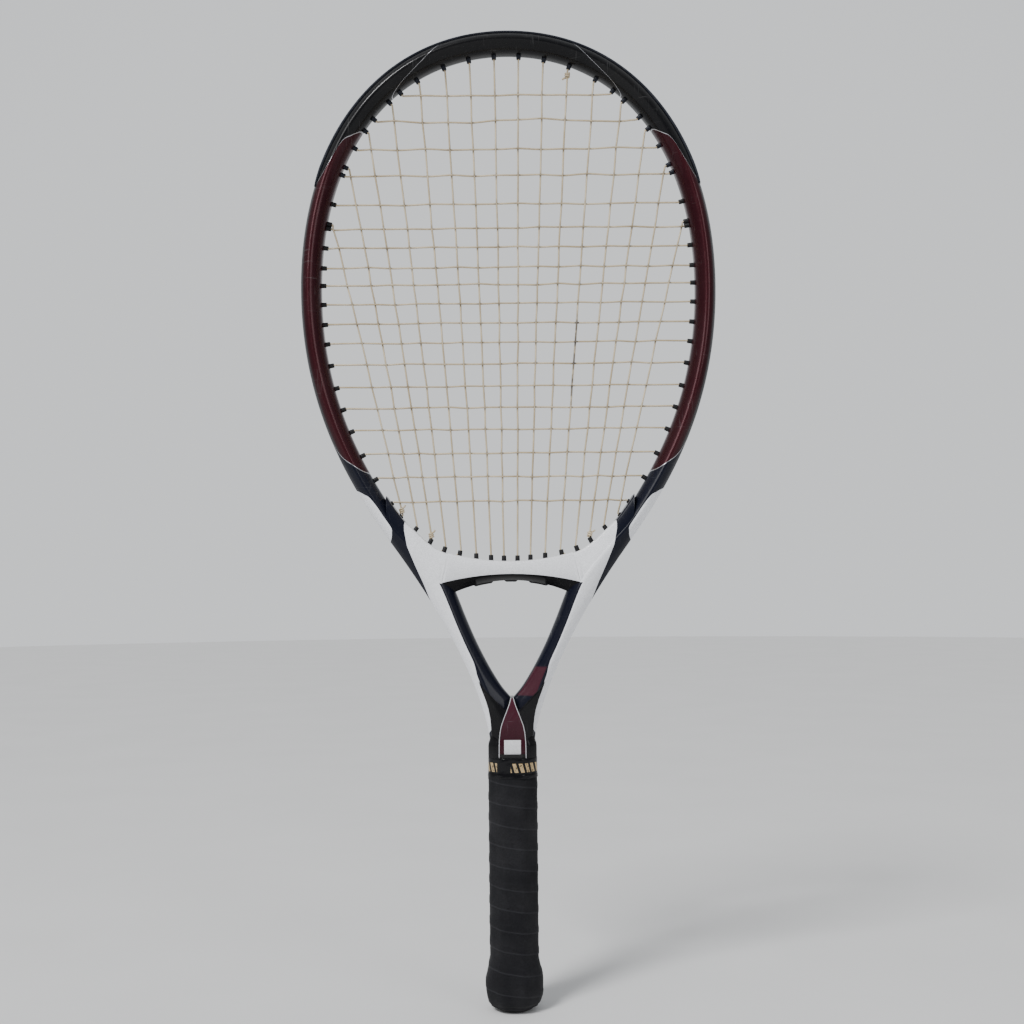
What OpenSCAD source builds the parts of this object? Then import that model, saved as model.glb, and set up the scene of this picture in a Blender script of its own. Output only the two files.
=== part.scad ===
// Tennis racket: a hollow moulded hairpin frame with a bonded throat bridge, grommets, a woven
// string bed and a wrapped eight-sided handle.
// The racket stands on its butt end: Z runs up its length, X across the strings, Y through the face.

/* [Overall] */
// Length from the butt end to the top of the bumper guard
length = 685.8; // [670:0.1:830]
// Width of the head over the frame tube
head_w = 290.6; // [240:0.1:350]

/* [Frame] */
// Width of the tube in the plane of the strings
tube_w = 14; // [12:0.1:17]
// Depth of the tube from front ridge to back ridge
beam = 25; // [21:0.1:30]
// Laminate thickness of the tube
wall = 1.5; // [1:0.1:2]
// Distance of the ridge from the outer edge of the tube
ridge_in = 6.5; // [5:0.1:8]
// Width of the flat outer face that holds the string groove
outer_flat = 10; // [9:0.1:12]
// Distance from the top of the tube down to the widest point
widest_drop = 179.6; // [150:0.1:210]
// Distance from the top of the tube down to the shoulder point
shoulder_drop = 362.1; // [355:0.1:380]
// Half width over the tube at the shoulder point, as a share of half the head's width
shoulder_share = 0.5506; // [0.5:0.0001:0.6]
// Lean of the tube from the vertical at the shoulder
shoulder_lean = 35.5; // [32:0.1:38]
// Height above the butt where the two arms have become one shaft
neck_z = 188; // [186:0.1:215]
// Width of the shaft at the neck
neck_w = 31.4; // [28:0.1:34]
// Depth of the shaft at the neck
neck_d = 22; // [20:0.1:25]
// Height above the butt of the rounded bottom of the throat opening
throat_z = 218.6; // [212:0.1:240]
// Radius of the bottom of the throat opening
throat_r = 3.5; // [2:0.1:5]

/* [Bridge] */
// Thickness of the bridge at its middle
bridge_t = 13.4; // [11:0.1:16]
// Distance from the top of the tube down to the middle of the bridge's upper edge
bridge_drop = 370.2; // [368:0.1:376]
// Radius of the bridge's upper edge
bridge_top_r = 160; // [140:1:190]
// Radius of the bridge's lower edge
bridge_low_r = 101; // [90:1:130]
// Depth of the bridge
bridge_d = 23; // [20:0.1:25]
// How far the bonded insert's end lies in from the shoulder point
insert_in = 34; // [30:0.1:38]

/* [Strings] */
// Diameter of the string
string_d = 1.3; // [1.1:0.01:1.45]
// Depth of the string groove in the outer face
groove_d = 2.5; // [2:0.1:3]
// Width of the string groove
groove_w = 7; // [6:0.1:8]
// Thickness of the grommet strip in the groove
strip_t = 1; // [0.8:0.1:1.2]
// Outer diameter of a grommet barrel
barrel_d = 3.2; // [2.6:0.1:3.6]
// How far a barrel stands out inside the head
barrel_out = 3; // [2:0.1:5]
// Thickness of the bumper guard outside the tube
bumper_t = 1.2; // [0.8:0.1:1.6]
// Distance from the top of the tube down to the ends of the bumper guard
bumper_drop = 107; // [102:0.1:110]

/* [Handle] */
// Width of the bare pallet across the racket
pallet_w = 30.4; // [28:0.1:33]
// Depth of the bare pallet
pallet_d = 27; // [24:0.1:30]
// Width of the pallet's corner bevels along each side
bevel = 8.3; // [7:0.1:9]
// Height of the pallet's top end
pallet_z = 180; // [170:0.1:184]
// Thickness of the pallet's foam over the sides of the hairpin's end
foam_x = 3.2; // [2.8:0.1:5]
// Thickness of the pallet's foam over the front and back of the hairpin's end
foam_y = 4; // [3.5:0.1:6]
// Thickness of the base grip
base_grip_t = 1.7; // [1.2:0.1:2.2]
// Thickness of the overgrip
overgrip_t = 0.5; // [0.4:0.05:0.8]
// Height of the overgrip's top edge
overgrip_z = 165; // [150:0.1:168]
// Height of the finishing tape above the overgrip
tape_h = 12; // [8:0.1:13]
// Thickness of the finishing tape
tape_t = 0.25; // [0.1:0.05:0.4]

/* [Butt cap] */
// How far the cap's flare stands out from the pallet
flare = 3.1; // [2:0.1:4]
// Thickness of the cap's sleeve around the pallet's end
sleeve_t = 1.2; // [0.8:0.1:1.6]
// Height of the sleeve's upper edge
sleeve_z = 44; // [38:0.1:60]
// Height of the solid floor under the pallet
floor_z = 12; // [8:0.1:14]
// Diameter of the trap door's flange
door_d = 19; // [16:0.1:19.5]
// Thickness of the trap door's flange
door_t = 2; // [1.5:0.1:3]
// Diameter of the trap door's plug
plug_d = 14; // [11:0.1:14.5]
// Length of the trap door's plug above its flange
plug_h = 8; // [5:0.1:9]

/* [Fits] */
// Gap round a grommet barrel in its hole
barrel_gap = 0.1; // [0.05:0.01:0.2]
// Gap round the string in a barrel
string_gap = 0.2; // [0.1:0.01:0.3]
// Gap between two strings where they cross
weave_gap = 0.02; // [0.02:0.01:0.1]
// Gap round the trap door's flange and plug
door_gap = 0.2; // [0.1:0.01:0.3]
// Gap round a staple in its slot
staple_gap = 0.05; // [0.02:0.01:0.1]
// Gap between the guard's lips and the tube
guard_gap = 0.03; // [0.02:0.01:0.1]

/* [Hidden] */
$fn = 48;

// The outer edge of the right half of the tube runs through four points: the top, the widest
// point, the shoulder and the neck. Three cubic curves join them with common tangents.
tube_top = length - bumper_t;
widest = [head_w / 2, tube_top - widest_drop];
shoulder_x = shoulder_share * head_w / 2;
insert_x = shoulder_x - insert_in;
core_w = pallet_w - 2 * foam_x;
core_d = pallet_d - 2 * foam_y;
shoulder = [shoulder_x, tube_top - shoulder_drop];
neck = [neck_w / 2, neck_z];
lean_dir = [-sin(shoulder_lean), -cos(shoulder_lean)];
// How far each tangent reaches, as a share of its span
round_pull = 0.6;
side_pull = [0.45, 0.25];
arm_pull = [0.65, 0.05];
spans = [
    [[0, tube_top], [round_pull * widest[0], tube_top],
        widest + [0, round_pull * widest_drop], widest],
    [widest, widest - [0, side_pull[0] * norm(widest - shoulder)],
        shoulder - side_pull[1] * norm(widest - shoulder) * lean_dir, shoulder],
    [shoulder, shoulder + arm_pull[0] * norm(shoulder - neck) * lean_dir,
        neck + [0, arm_pull[1] * norm(shoulder - neck)], neck]
];
steps_per_span = 14;
steps = 3 * steps_per_span;

// Distances n outwards from the tube's centre line
half_w = tube_w / 2;
ridge_n = half_w - ridge_in;
groove_n = half_w - groove_d;
loop_gap = 0.12;
string_n = groove_n + strip_t + string_d / 2 + loop_gap;
tip_n = -half_w - barrel_out;
bed_half = head_w / 2 - tube_w - barrel_out;
bed_top = tube_top - tube_w - barrel_out;
bridge_z = tube_top - bridge_drop;
bed_length = bed_top - bridge_z - barrel_out;

// The string pattern: 16 mains that fan out towards the top and 19 crosses. Mains are counted
// from the middle outwards and crosses from the top down, as shares of the bed.
main_top_share = [0.067, 0.203, 0.338, 0.481, 0.632, 0.763, 0.872, 0.966];
main_low_share = [0.037, 0.108, 0.189, 0.278, 0.361, 0.437, 0.517, 0.595];
cross_share = [
    0.070, 0.122, 0.179, 0.232, 0.290, 0.338, 0.377, 0.417, 0.452, 0.490,
    0.530, 0.569, 0.612, 0.657, 0.700, 0.744, 0.792, 0.840, 0.889
];
mains_per_side = len(main_top_share);
mains = 2 * mains_per_side;
crosses = len(cross_share);
// Mains up to this one leave through the bridge, and up to the next number through the shoulder
bridge_mains = 3;
shoulder_mains = 7;
weave_y = (string_d + weave_gap) / 2;
loop_y = 1.4;
string_sides = 6;
// A string bends outside in the groove, and inside just past the barrel's end
straight_run = 0.9;
bore_d = string_d + 2 * string_gap;
hole_d = barrel_d + 2 * barrel_gap;

// Where the blend between the bridge and the tube meets the tube's inner side
blend_t = 1.87;
groove_end_t = 2.35;
groove_fade = 0.15;

// The handle: offsets of the butt cap's surface from the pallet's outline, by height
cap_profile = [
    [0, -3.5], [2.5, -0.8], [5, 0.25 * flare], [9, 0.7 * flare], [14, 0.94 * flare],
    [22, flare], [29, 0.48 * flare], [36, 0]
];
cap_top_z = 36;
grip_start_z = 5;
grip_top_z = overgrip_z + tape_h;
// The hairpin's end inside the pallet, and the wider step of the shaft above it
core_bevel = 6;
shaft_bevel = 5;
shaft_step = 1.15;
// A staple's crown, and its legs, which stay inside the plastic
staple_w = 8;
staple_h = 1.2;
staple_t = 0.5;
staple_leg = 3.2;
grip_staple_z = 18;
// The trap door: its wall, and the two holes for a tool that lifts it
door_wall = 1.2;
door_hole_d = 1.6;

// ---- curves ----
function bezier(p, u) =
    pow(1 - u, 3) * p[0] + 3 * pow(1 - u, 2) * u * p[1] + 3 * (1 - u) * u * u * p[2] + pow(u, 3) * p[3];
function bezier_slope(p, u) =
    pow(1 - u, 2) * (p[1] - p[0]) + 2 * (1 - u) * u * (p[2] - p[1]) + u * u * (p[3] - p[2]);
function unit(v) = v / norm(v);
function span_of(t) = min(floor(t), 2);
function edge(t) = bezier(spans[span_of(t)], t - span_of(t));
function heading(t) = unit(bezier_slope(spans[span_of(t)], t - span_of(t)));
function outward(t) = let (h = heading(t)) [-h[1], h[0]];
// A point of the tube: t along it (0 at the top, 3 at the neck, negative on the left),
// n outwards from its centre line and y through its depth
function tube_point(t, n, y) =
    let (a = abs(t), p = edge(a) + outward(a) * (n - half_w)) [t < 0 ? -p[0] : p[0], y, p[1]];
// The t between lo and hi where a falling measure of the point at depth n reaches a value
function find_t(value, axis, n, falling, lo, hi, left = 26) =
    let (mid = (lo + hi) / 2, p = tube_point(mid, n, 0)[axis])
    left == 0 ? mid
    : (p > value) == falling ? find_t(value, axis, n, falling, mid, hi, left - 1)
    : find_t(value, axis, n, falling, lo, mid, left - 1);
// The t where a line from a point along a direction leaves the tube
function exit_t(p, d, lo, hi, left = 26) =
    let (mid = (lo + hi) / 2, e = tube_point(mid, half_w, 0), v = [e[0], e[2]] - p)
    left == 0 ? mid
    : d[0] * v[1] - d[1] * v[0] > 0 ? exit_t(p, d, mid, hi, left - 1)
    : exit_t(p, d, lo, mid, left - 1);

// ---- the tube's section ----
// The tube widens inwards where the bridge meets it
gusset = [[1.88, 0], [1.98, 2], [2.12, 6.5], [2.18, 4.2], [2.25, 1.5], [2.33, 0]];
function swell(t) = lookup(abs(t), gusset);
function inner_n(t) = -half_w - swell(t);
// The beam narrows below the shoulder to just inside the shaft
function beam_share(t) =
    let (u = max(0, abs(t) - 2))
    1 - (1 - (neck_d - 0.6) / beam) * u * u * (3 - 2 * u);
function groove_at(t) =
    groove_d * min(1, max(0, (groove_end_t + groove_fade - abs(t)) / groove_fade));
// Half of the section from the groove to the inner face, as [n, y]
function half_section(t) =
    let (k = beam_share(t), ridge = ridge_n - swell(t), inner = inner_n(t))
    [
        [half_w - groove_at(t), groove_w / 2 - 0.01],
        [half_w, groove_w / 2],
        [half_w, outer_flat / 2],
        [half_w - 0.37 * (half_w - ridge), 0.385 * beam * k],
        [ridge, 0.5 * beam * k],
        [ridge - 0.63 * (ridge - inner), 0.36 * beam * k],
        [inner, 0.16 * beam * k]
    ];
function mirrored(half) = concat(
    [for (p = half) [p[0], -p[1]]],
    [for (i = [len(half) - 1:-1:0]) half[i]]
);
function cavity_half(t) =
    let (k = beam_share(t), ridge = ridge_n - swell(t), inner = inner_n(t))
    [
        [groove_n - wall, 0.22 * beam * k],
        [ridge, (0.5 * beam - 1.8 * wall) * k],
        [ridge - 0.5 * (ridge - inner), (0.4 * beam - 1.6 * wall) * k],
        [inner + wall, 0.13 * beam * k]
    ];
function along(t, outline) = [for (p = outline) tube_point(t, p[0], p[1])];
// Stations on the tube between two values of t, on the common grid wherever it falls between them
function stations(a, b) = concat(
    [a],
    [for (i = [-steps:steps]) let (t = 3 * i / steps) if (t > a + 0.01 && t < b - 0.01) t],
    [b]
);

// ---- solids from rings of points ----
function ring_sides(count, m) = [
    for (i = [0:count - 2]) for (k = [0:m - 1])
        [i * m + k, (i + 1) * m + k, (i + 1) * m + (k + 1) % m, i * m + (k + 1) % m]
];
module loft(rings) {
    m = len(rings[0]);
    last = (len(rings) - 1) * m;
    polyhedron(
        points = [for (r = rings) for (p = r) p],
        faces = concat(
            ring_sides(len(rings), m),
            [[for (k = [0:m - 1]) (k + 3) % m]],
            [[for (k = [m:-1:1]) last + (k + 3) % m]]
        ),
        convexity = 10
    );
}
// A band whose section has an inner and an outer row of points, so its ends are rows of quads
module band(inner_rows, outer_rows) {
    m = len(inner_rows[0]);
    count = len(inner_rows);
    last = (count - 1) * 2 * m;
    polyhedron(
        points = [
            for (i = [0:count - 1]) each concat(inner_rows[i], [for (k = [m - 1:-1:0]) outer_rows[i][k]])
        ],
        faces = concat(
            ring_sides(count, 2 * m),
            [for (k = [0:m - 2]) [k, k + 1, 2 * m - 2 - k, 2 * m - 1 - k]],
            [for (k = [0:m - 2]) [last + 2 * m - 1 - k, last + 2 * m - 2 - k, last + k + 1, last + k]]
        ),
        convexity = 10
    );
}
// A sleeve between two stacks of rings
module sleeve(inner_rings, outer_rings) {
    m = len(inner_rings[0]);
    count = len(inner_rings);
    inside = count * m;
    top = (count - 1) * m;
    polyhedron(
        points = concat([for (r = outer_rings) each r], [for (r = inner_rings) each r]),
        faces = concat(
            ring_sides(count, m),
            [for (f = ring_sides(count, m)) [for (k = [3:-1:0]) inside + f[k]]],
            [for (k = [0:m - 1]) [k, (k + 1) % m, inside + (k + 1) % m, inside + k]],
            [
                for (k = [0:m - 1]) let (n = (k + 1) % m)
                    [top + n, top + k, inside + top + k, inside + top + n]
            ]
        ),
        convexity = 10
    );
}
// A round cord along a path that lies close to the plane of the strings
function cord_ring(path, i) =
    let (
        before = unit(path[max(i, 1)] - path[max(i, 1) - 1]),
        after = unit(path[min(i + 1, len(path) - 1)] - path[min(i, len(path) - 2)]),
        run = unit(before + after),
        side = unit(cross(run, [0, 1, 0])),
        up = cross(side, run),
        mitre = 1 / max(0.65, run * after)
    )
    [for (k = [0:string_sides - 1]) let (a = 360 * (k + 0.5) / string_sides)
        path[i] + string_d / 2 * (cos(a) * mitre * side - sin(a) * up)];
module cord(path) loft([for (i = [0:len(path) - 1]) cord_ring(path, i)]);

// ---- holes: [tip inside the head, mouth on the groove floor, t of the mouth] ----
function mirror_x(p) = [-p[0], p[1], p[2]];
function normal_hole(t) = [tube_point(t, tip_n, 0), tube_point(t, groove_n, 0), t];
function bridge_top(x) = bridge_z + bridge_top_r - sqrt(pow(bridge_top_r, 2) - x * x);
blend_low = [insert_x + 5, bridge_top(insert_x + 5)];
blend_high = let (p = tube_point(blend_t, inner_n(blend_t), 0)) [p[0], p[2]];
function yoke_top(x) =
    x <= blend_low[0] ? bridge_top(x)
    : blend_low[1] + (x - blend_low[0]) * (blend_high[1] - blend_low[1]) / (blend_high[0] - blend_low[0]);
throat_top = bridge_z - bridge_t;
function bridge_low(x) = throat_top - bridge_low_r + sqrt(pow(bridge_low_r, 2) - x * x);
function shoulder_hole(x) =
    let (
        tip = [x, yoke_top(x) + barrel_out * 0.8],
        d = outward(2),
        t = exit_t(tip, d, 1.6, 2.6)
    )
    [[tip[0], 0, tip[1]], tube_point(t, groove_n, 0), t];
function bridge_hole(x) = [[x, 0, bridge_top(x) + barrel_out], [x, 0, bridge_low(x) + groove_d], 0];
function main_top_hole(i) = normal_hole(find_t(main_top_share[i] * bed_half, 0, tip_n, false, 0, 1));
function main_low_hole(i) =
    let (x = main_low_share[i] * bed_half)
    i < bridge_mains ? bridge_hole(x)
    : i < shoulder_mains ? shoulder_hole(x)
    : normal_hole(find_t(x, 0, tip_n, true, 1, 2.2));
function cross_hole(j) = normal_hole(find_t(bed_top - cross_share[j] * bed_length, 2, tip_n, true, 0, 2));
function on_left(h) = [mirror_x(h[0]), mirror_x(h[1]), -h[2]];
right_top = [for (i = [0:mains_per_side - 1]) main_top_hole(i)];
right_low = [for (i = [0:mains_per_side - 1]) main_low_hole(i)];
right_cross = [for (j = [0:crosses - 1]) cross_hole(j)];
bumper_t_end = find_t(tube_top - bumper_drop, 2, half_w, true, 0, 2);
strip_end_t = ceil((right_low[bridge_mains][2] + 0.04) * steps_per_span) / steps_per_span;
strip_gap_t = 0.012;
right_holes = concat(right_top, right_cross, [for (i = [bridge_mains:mains_per_side - 1]) right_low[i]]);
head_holes = [for (h = right_holes) if (h[2] < bumper_t_end) h];
side_holes = [for (h = right_holes) if (h[2] > bumper_t_end) h];
throat_holes = [for (i = [0:bridge_mains - 1]) right_low[i]];
throat_reach = throat_holes[bridge_mains - 1][0][0] + 4;

// A round bar along a hole, from a distance past its tip to a distance past its mouth
module along_hole(h, d, past_tip, past_mouth) {
    v = h[1] - h[0];
    tilt = atan2(v[0], v[2]);
    translate(h[0])
    rotate([0, tilt, 0])
    translate([0, 0, -past_tip])
    cylinder(d = d, h = norm(v) + past_tip + past_mouth, $fn = 24);
}
module both_sides() {
    children();
    mirror([1, 0, 0]) children();
}

// ---- the yoke, cut between the insert and the frame's two lugs ----
module ring_cutter(r, flat, grow) {
    rotate([90, 0, 0])
    rotate_extrude($fn = 180)
    polygon([
        [0, -beam], [r + 2 * grow, -beam], [r + grow, -bridge_d / 2], [r, -flat / 2],
        [r, flat / 2], [r + grow, bridge_d / 2], [r + 2 * grow, beam], [0, beam]
    ]);
}
module plate(thick) {
    rotate([90, 0, 0]) linear_extrude(thick, center = true) children();
}
yoke_low = throat_top - 40;
yoke_high = bridge_z + 40;
seam_lean = 4;
seam = [[insert_x, yoke_low], [insert_x - seam_lean, yoke_high]];
lug_outline = [seam[0], [shoulder_x + 10, yoke_low], [shoulder_x + 10, yoke_high], seam[1]];
insert_outline = [seam[0], seam[1], [-seam[1][0], yoke_high], [-seam[0][0], yoke_low]];
module yoke(outline) {
    difference() {
        plate(bridge_d) polygon(outline);
        translate([0, 0, bridge_z + bridge_top_r]) ring_cutter(bridge_top_r, bridge_d - 4, 2);
        translate([0, 0, throat_top - bridge_low_r]) ring_cutter(bridge_low_r, groove_w + 2, 4.4);
    }
}

// ---- the frame ----
// Handle outlines: eight points at an offset from the pallet's surface, and at a height
function octagon(w, d, c, z) = [
    [w, c - d, z], [w, d - c, z], [w - c, d, z], [c - w, d, z],
    [-w, d - c, z], [-w, c - d, z], [c - w, -d, z], [w - c, -d, z]
];
bevel_grow = 2 - sqrt(2);
function handle_ring(o, z) = octagon(pallet_w / 2 + o, pallet_d / 2 + o, bevel + bevel_grow * o, z);
function core_ring(o, z) = octagon(core_w / 2 + o, core_d / 2 + o, core_bevel + bevel_grow * o, z);
function cap_offset(z) = lookup(z, cap_profile);
function grip_heights(top) = concat(
    [grip_start_z], [for (p = cap_profile) if (p[0] > grip_start_z) p[0]], [top]
);

module tube_outside() loft([for (t = stations(-3, 3)) along(t, mirrored(half_section(t)))]);
module tube_cavity() loft([for (t = stations(-2.95, 2.95)) along(t, mirrored(cavity_half(t)))]);
module peg(r) plate(beam) circle(r, $fn = 32);
module shaft_outside() {
    w = neck_w / 2 + 0.15;
    d = neck_d / 2;
    difference() {
        loft([
            octagon(w + shaft_step, d + shaft_step / 2, shaft_bevel, pallet_z),
            octagon(w + shaft_step, d + shaft_step / 2, shaft_bevel, neck_z - 3),
            octagon(w, d, shaft_bevel, neck_z + 1),
            octagon(w - 0.5, d, shaft_bevel, neck_z + 8),
            octagon(w, d, shaft_bevel, (neck_z + throat_z) / 2 + 3),
            octagon(w - 2, d - 0.8, shaft_bevel, throat_z + 4)
        ]);
        hull() {
            translate([0, 0, throat_z + throat_r]) peg(throat_r);
            both_sides() translate([12, 0, throat_z + 30]) peg(1);
        }
    }
}
module core_prism(o, z0, z1) {
    translate([0, 0, z0]) linear_extrude(z1 - z0) polygon([for (p = core_ring(o, 0)) [p[0], p[1]]]);
}
module blend() {
    plate(bridge_d / 2)
    polygon([
        blend_low - [0, 3], blend_low, blend_high, blend_high + [half_w, 0], blend_low + [12, -3]
    ]);
}
// The room between the tube's centre lines, which trims the lugs
module between_arms() {
    ts = [1.5:0.1:2.6];
    plate(beam) polygon([
        for (t = ts) let (p = tube_point(t, 0, 0)) [p[0], p[2]],
        [0, tube_point(2.6, 0, 0)[2]], [0, tube_point(1.5, 0, 0)[2]]
    ]);
}
module frame() {
    color("#4a0f1c")
    difference() {
        union() {
            tube_outside();
            shaft_outside();
            core_prism(0, floor_z, pallet_z + 2);
            both_sides() intersection() {
                yoke(lug_outline);
                between_arms();
            }
            both_sides() blend();
        }
        tube_cavity();
        both_sides() translate([1, 0, 0]) intersection() {
            core_prism(-wall, floor_z - 1, neck_z + 4);
            translate([0, -core_d, 0]) cube([core_w, 2 * core_d, length]);
        }
        both_sides() for (h = right_holes) along_hole(h, hole_d, 6, groove_d + 1);
    }
}
module bridge() {
    color("white")
    difference() {
        yoke(insert_outline);
        tube_outside();
        both_sides() {
            for (h = throat_holes) along_hole(h, hole_d, 6, groove_d + 12);
            for (i = [bridge_mains:shoulder_mains - 1]) along_hole(right_low[i], hole_d, 6, 1);
        }
        translate([-throat_reach - 1, -groove_w / 2, throat_top - 12])
        cube([2 * throat_reach + 2, groove_w, 12 + groove_d]);
    }
}

// ---- guards and grommets ----
strip_y = groove_w / 2 - 0.1;
function strip_floor(y) = [[groove_n, -y], [groove_n, y]];
function strip_back(y) = [[groove_n + strip_t, -y], [groove_n + strip_t, y]];
module barrels(holes) {
    for (h = holes) along_hole(h, barrel_d, 0, strip_t / 2);
}
module string_bores(holes) {
    for (h = holes) along_hole(h, bore_d, 1, strip_t + 1);
}
module groove_strip(a, b) {
    ts = stations(a, b);
    band([for (t = ts) along(t, strip_floor(strip_y))], [for (t = ts) along(t, strip_back(strip_y))]);
}
// The guard lies on the groove floor and adds a lip on each side over the tube's outer face
module guard_band() {
    ts = stations(-bumper_t_end, bumper_t_end);
    side = half_section(0);
    knee = side[2] + 0.6 * (side[3] - side[2]) + [guard_gap, guard_gap];
    wall_y = strip_y - 0.7;
    low = [[groove_n, wall_y], [groove_n, strip_y], [half_w, strip_y + 0.09], side[2], knee];
    high = [
        [groove_n + strip_t, wall_y], [half_w + 0.6 * bumper_t, wall_y], [half_w + bumper_t, strip_y],
        side[2] + [bumper_t, 0.4], knee + [0.7 * bumper_t, 0.6 * bumper_t]
    ];
    inner = concat([for (i = [4:-1:0]) [low[i][0], -low[i][1]]], low);
    outer = concat([for (i = [4:-1:0]) [high[i][0], -high[i][1]]], high);
    band([for (t = ts) along(t, inner)], [for (t = ts) along(t, outer)]);
}
module bumper_guard() {
    color("#15161f")
    difference() {
        union() {
            guard_band();
            both_sides() barrels(head_holes);
        }
        both_sides() string_bores(head_holes);
    }
}
module side_strip() {
    color("#1a1a1c")
    difference() {
        union() {
            groove_strip(bumper_t_end + strip_gap_t, strip_end_t);
            barrels(side_holes);
        }
        string_bores(side_holes);
    }
}
module right_grommet_strip() side_strip();
module left_grommet_strip() mirror([1, 0, 0]) side_strip();
module throat_grommet_strip() {
    xs = [for (i = [-6:6]) throat_reach * i / 6];
    y = strip_y;
    color("#1a1a1c")
    difference() {
        union() {
            band(
                [for (x = xs) let (z = bridge_low(abs(x)) + groove_d) [[x, y, z], [x, -y, z]]],
                [for (x = xs) let (z = bridge_low(abs(x)) + groove_d - strip_t) [[x, y, z], [x, -y, z]]]
            );
            both_sides() barrels(throat_holes);
        }
        both_sides() string_bores(throat_holes);
    }
}

// ---- strings ----
// Strings are numbered across the bed from the left, so this gives a main's hole at one end
function side_index(m) = m < mains_per_side ? mains_per_side - 1 - m : m - mains_per_side;
function main_hole(m, set) = m < mains_per_side ? on_left(set[side_index(m)]) : set[side_index(m)];
function inside_of(h) = h[0] - unit(h[1] - h[0]) * straight_run;
function outside_of(h) = h[1] + unit(h[1] - h[0]) * (string_n - groove_n);
function over(m, j) = ((m + j) % 2 == 0 ? 1 : -1) * weave_y;
cross_z = [for (h = right_cross) inside_of(h)[2]];
function main_at(m, z) =
    let (a = inside_of(main_hole(m, right_low)), b = inside_of(main_hole(m, right_top)))
    a[0] + (b[0] - a[0]) * (z - a[2]) / (b[2] - a[2]);
function meets(m, j) =
    cross_z[j] > main_hole(m, right_low)[0][2] + 1 && cross_z[j] < main_hole(m, right_top)[0][2] - 1;
function main_run(m) = [
    outside_of(main_hole(m, right_low)), inside_of(main_hole(m, right_low)),
    for (j = [crosses - 1:-1:0]) if (meets(m, j)) [main_at(m, cross_z[j]), over(m, j), cross_z[j]],
    inside_of(main_hole(m, right_top)), outside_of(main_hole(m, right_top))
];
function cross_run(j) = [
    outside_of(on_left(right_cross[j])), inside_of(on_left(right_cross[j])),
    for (m = [0:mains - 1]) if (meets(m, j)) [main_at(m, cross_z[j]), -over(m, j), cross_z[j]],
    inside_of(right_cross[j]), outside_of(right_cross[j])
];
function backwards(list) = [for (i = [len(list) - 1:-1:0]) list[i]];
// A loop in the groove between two mouths, to one side of the holes that it passes
function groove_loop(ta, tb, y) =
    [for (u = [0.15, 0.5, 0.85]) tube_point(ta + u * (tb - ta), string_n, y)];
function throat_loop(xa, xb) = [
    for (u = [0.2, 0.8]) let (x = xa + u * (xb - xa))
        [x, loop_y, bridge_low(abs(x)) + groove_d - (string_n - groove_n)]
];
function low_loop(m) =
    let (a = main_hole(m, right_low), b = main_hole(m + 1, right_low))
    side_index(m) < bridge_mains && side_index(m + 1) < bridge_mains
    ? throat_loop(a[0][0], b[0][0])
    : groove_loop(a[2], b[2], loop_y);
function top_loop(m) =
    groove_loop(main_hole(m, right_top)[2], main_hole(m + 1, right_top)[2], loop_y);
// Each loose end runs along the groove to the hole where it is tied off
main_tie = 5;
cross_start_tie = 2;
cross_end_tie = 7;
function main_tail(side) = [for (u = [0.9, 0.5, 0.15])
    let (a = right_low[mains_per_side - 1][2], b = right_low[main_tie][2])
    tube_point(side * (a + u * (b - a)), string_n, -loop_y)];
main_path = [
    each main_tail(-1),
    for (m = [0:mains - 1]) each concat(
        m % 2 == 0 ? main_run(m) : backwards(main_run(m)),
        m == mains - 1 ? [] : m % 2 == 0 ? top_loop(m) : low_loop(m)
    ),
    each backwards(main_tail(1))
];
function cross_tail(ta, tb, side) =
    [for (u = [0.15, 0.5, 0.9]) tube_point(side * (ta + u * (tb - ta)), string_n, -loop_y)];
cross_path = [
    each backwards(cross_tail(right_cross[0][2], right_top[cross_start_tie][2], 1)),
    for (j = [0:crosses - 1]) let (s = j % 2 == 0 ? -1 : 1) each concat(
        j % 2 == 0 ? backwards(cross_run(j)) : cross_run(j),
        j == crosses - 1 ? [] : groove_loop(s * right_cross[j][2], s * right_cross[j + 1][2], -loop_y)
    ),
    each cross_tail(right_cross[crosses - 1][2], right_low[cross_end_tie][2] - 0.02, -1)
];
module main_string() color("#b59a6a") cord(main_path);
module cross_string() color("#c4ab7c") cord(cross_path);

// ---- knots: two turns of the tail round the string that anchors it, and the cut end ----
knot_turn_r = string_d + 0.06;
knot_lift = 1.3 + string_d / 2;
knot_tail = 6;
module knot(m, holes, face) {
    run = main_run(m);
    top = holes == right_top;
    base = inside_of(main_hole(m, holes));
    v = (top ? run[len(run) - 3] : run[2]) - base;
    translate(base)
    rotate([-asin(v[1] / norm(v)), atan2(v[0], v[2]), 0]) {
        for (k = [0:1])
            translate([0, 0, knot_lift + k * (string_d + 0.02)])
            rotate_extrude($fn = 32)
            translate([knot_turn_r, 0])
            circle(d = string_d, $fn = 24);
        translate([knot_turn_r, 0, knot_lift + string_d / 2])
        rotate([face * 70, 0, 0])
        cylinder(d = string_d, h = knot_tail, $fn = 24);
    }
}
module tie_off_knots() {
    color("#a88c5c") {
        knot(mains_per_side + main_tie, right_low, 1);
        knot(mains_per_side - 1 - main_tie, right_low, -1);
        knot(mains_per_side + cross_start_tie, right_top, -1);
        knot(mains_per_side - 1 - cross_end_tie, right_low, -1);
    }
}

// ---- handle ----
module handle_solid(o, z0, z1) {
    translate([0, 0, z0]) linear_extrude(z1 - z0) polygon([for (p = handle_ring(o, 0)) [p[0], p[1]]]);
}
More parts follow.
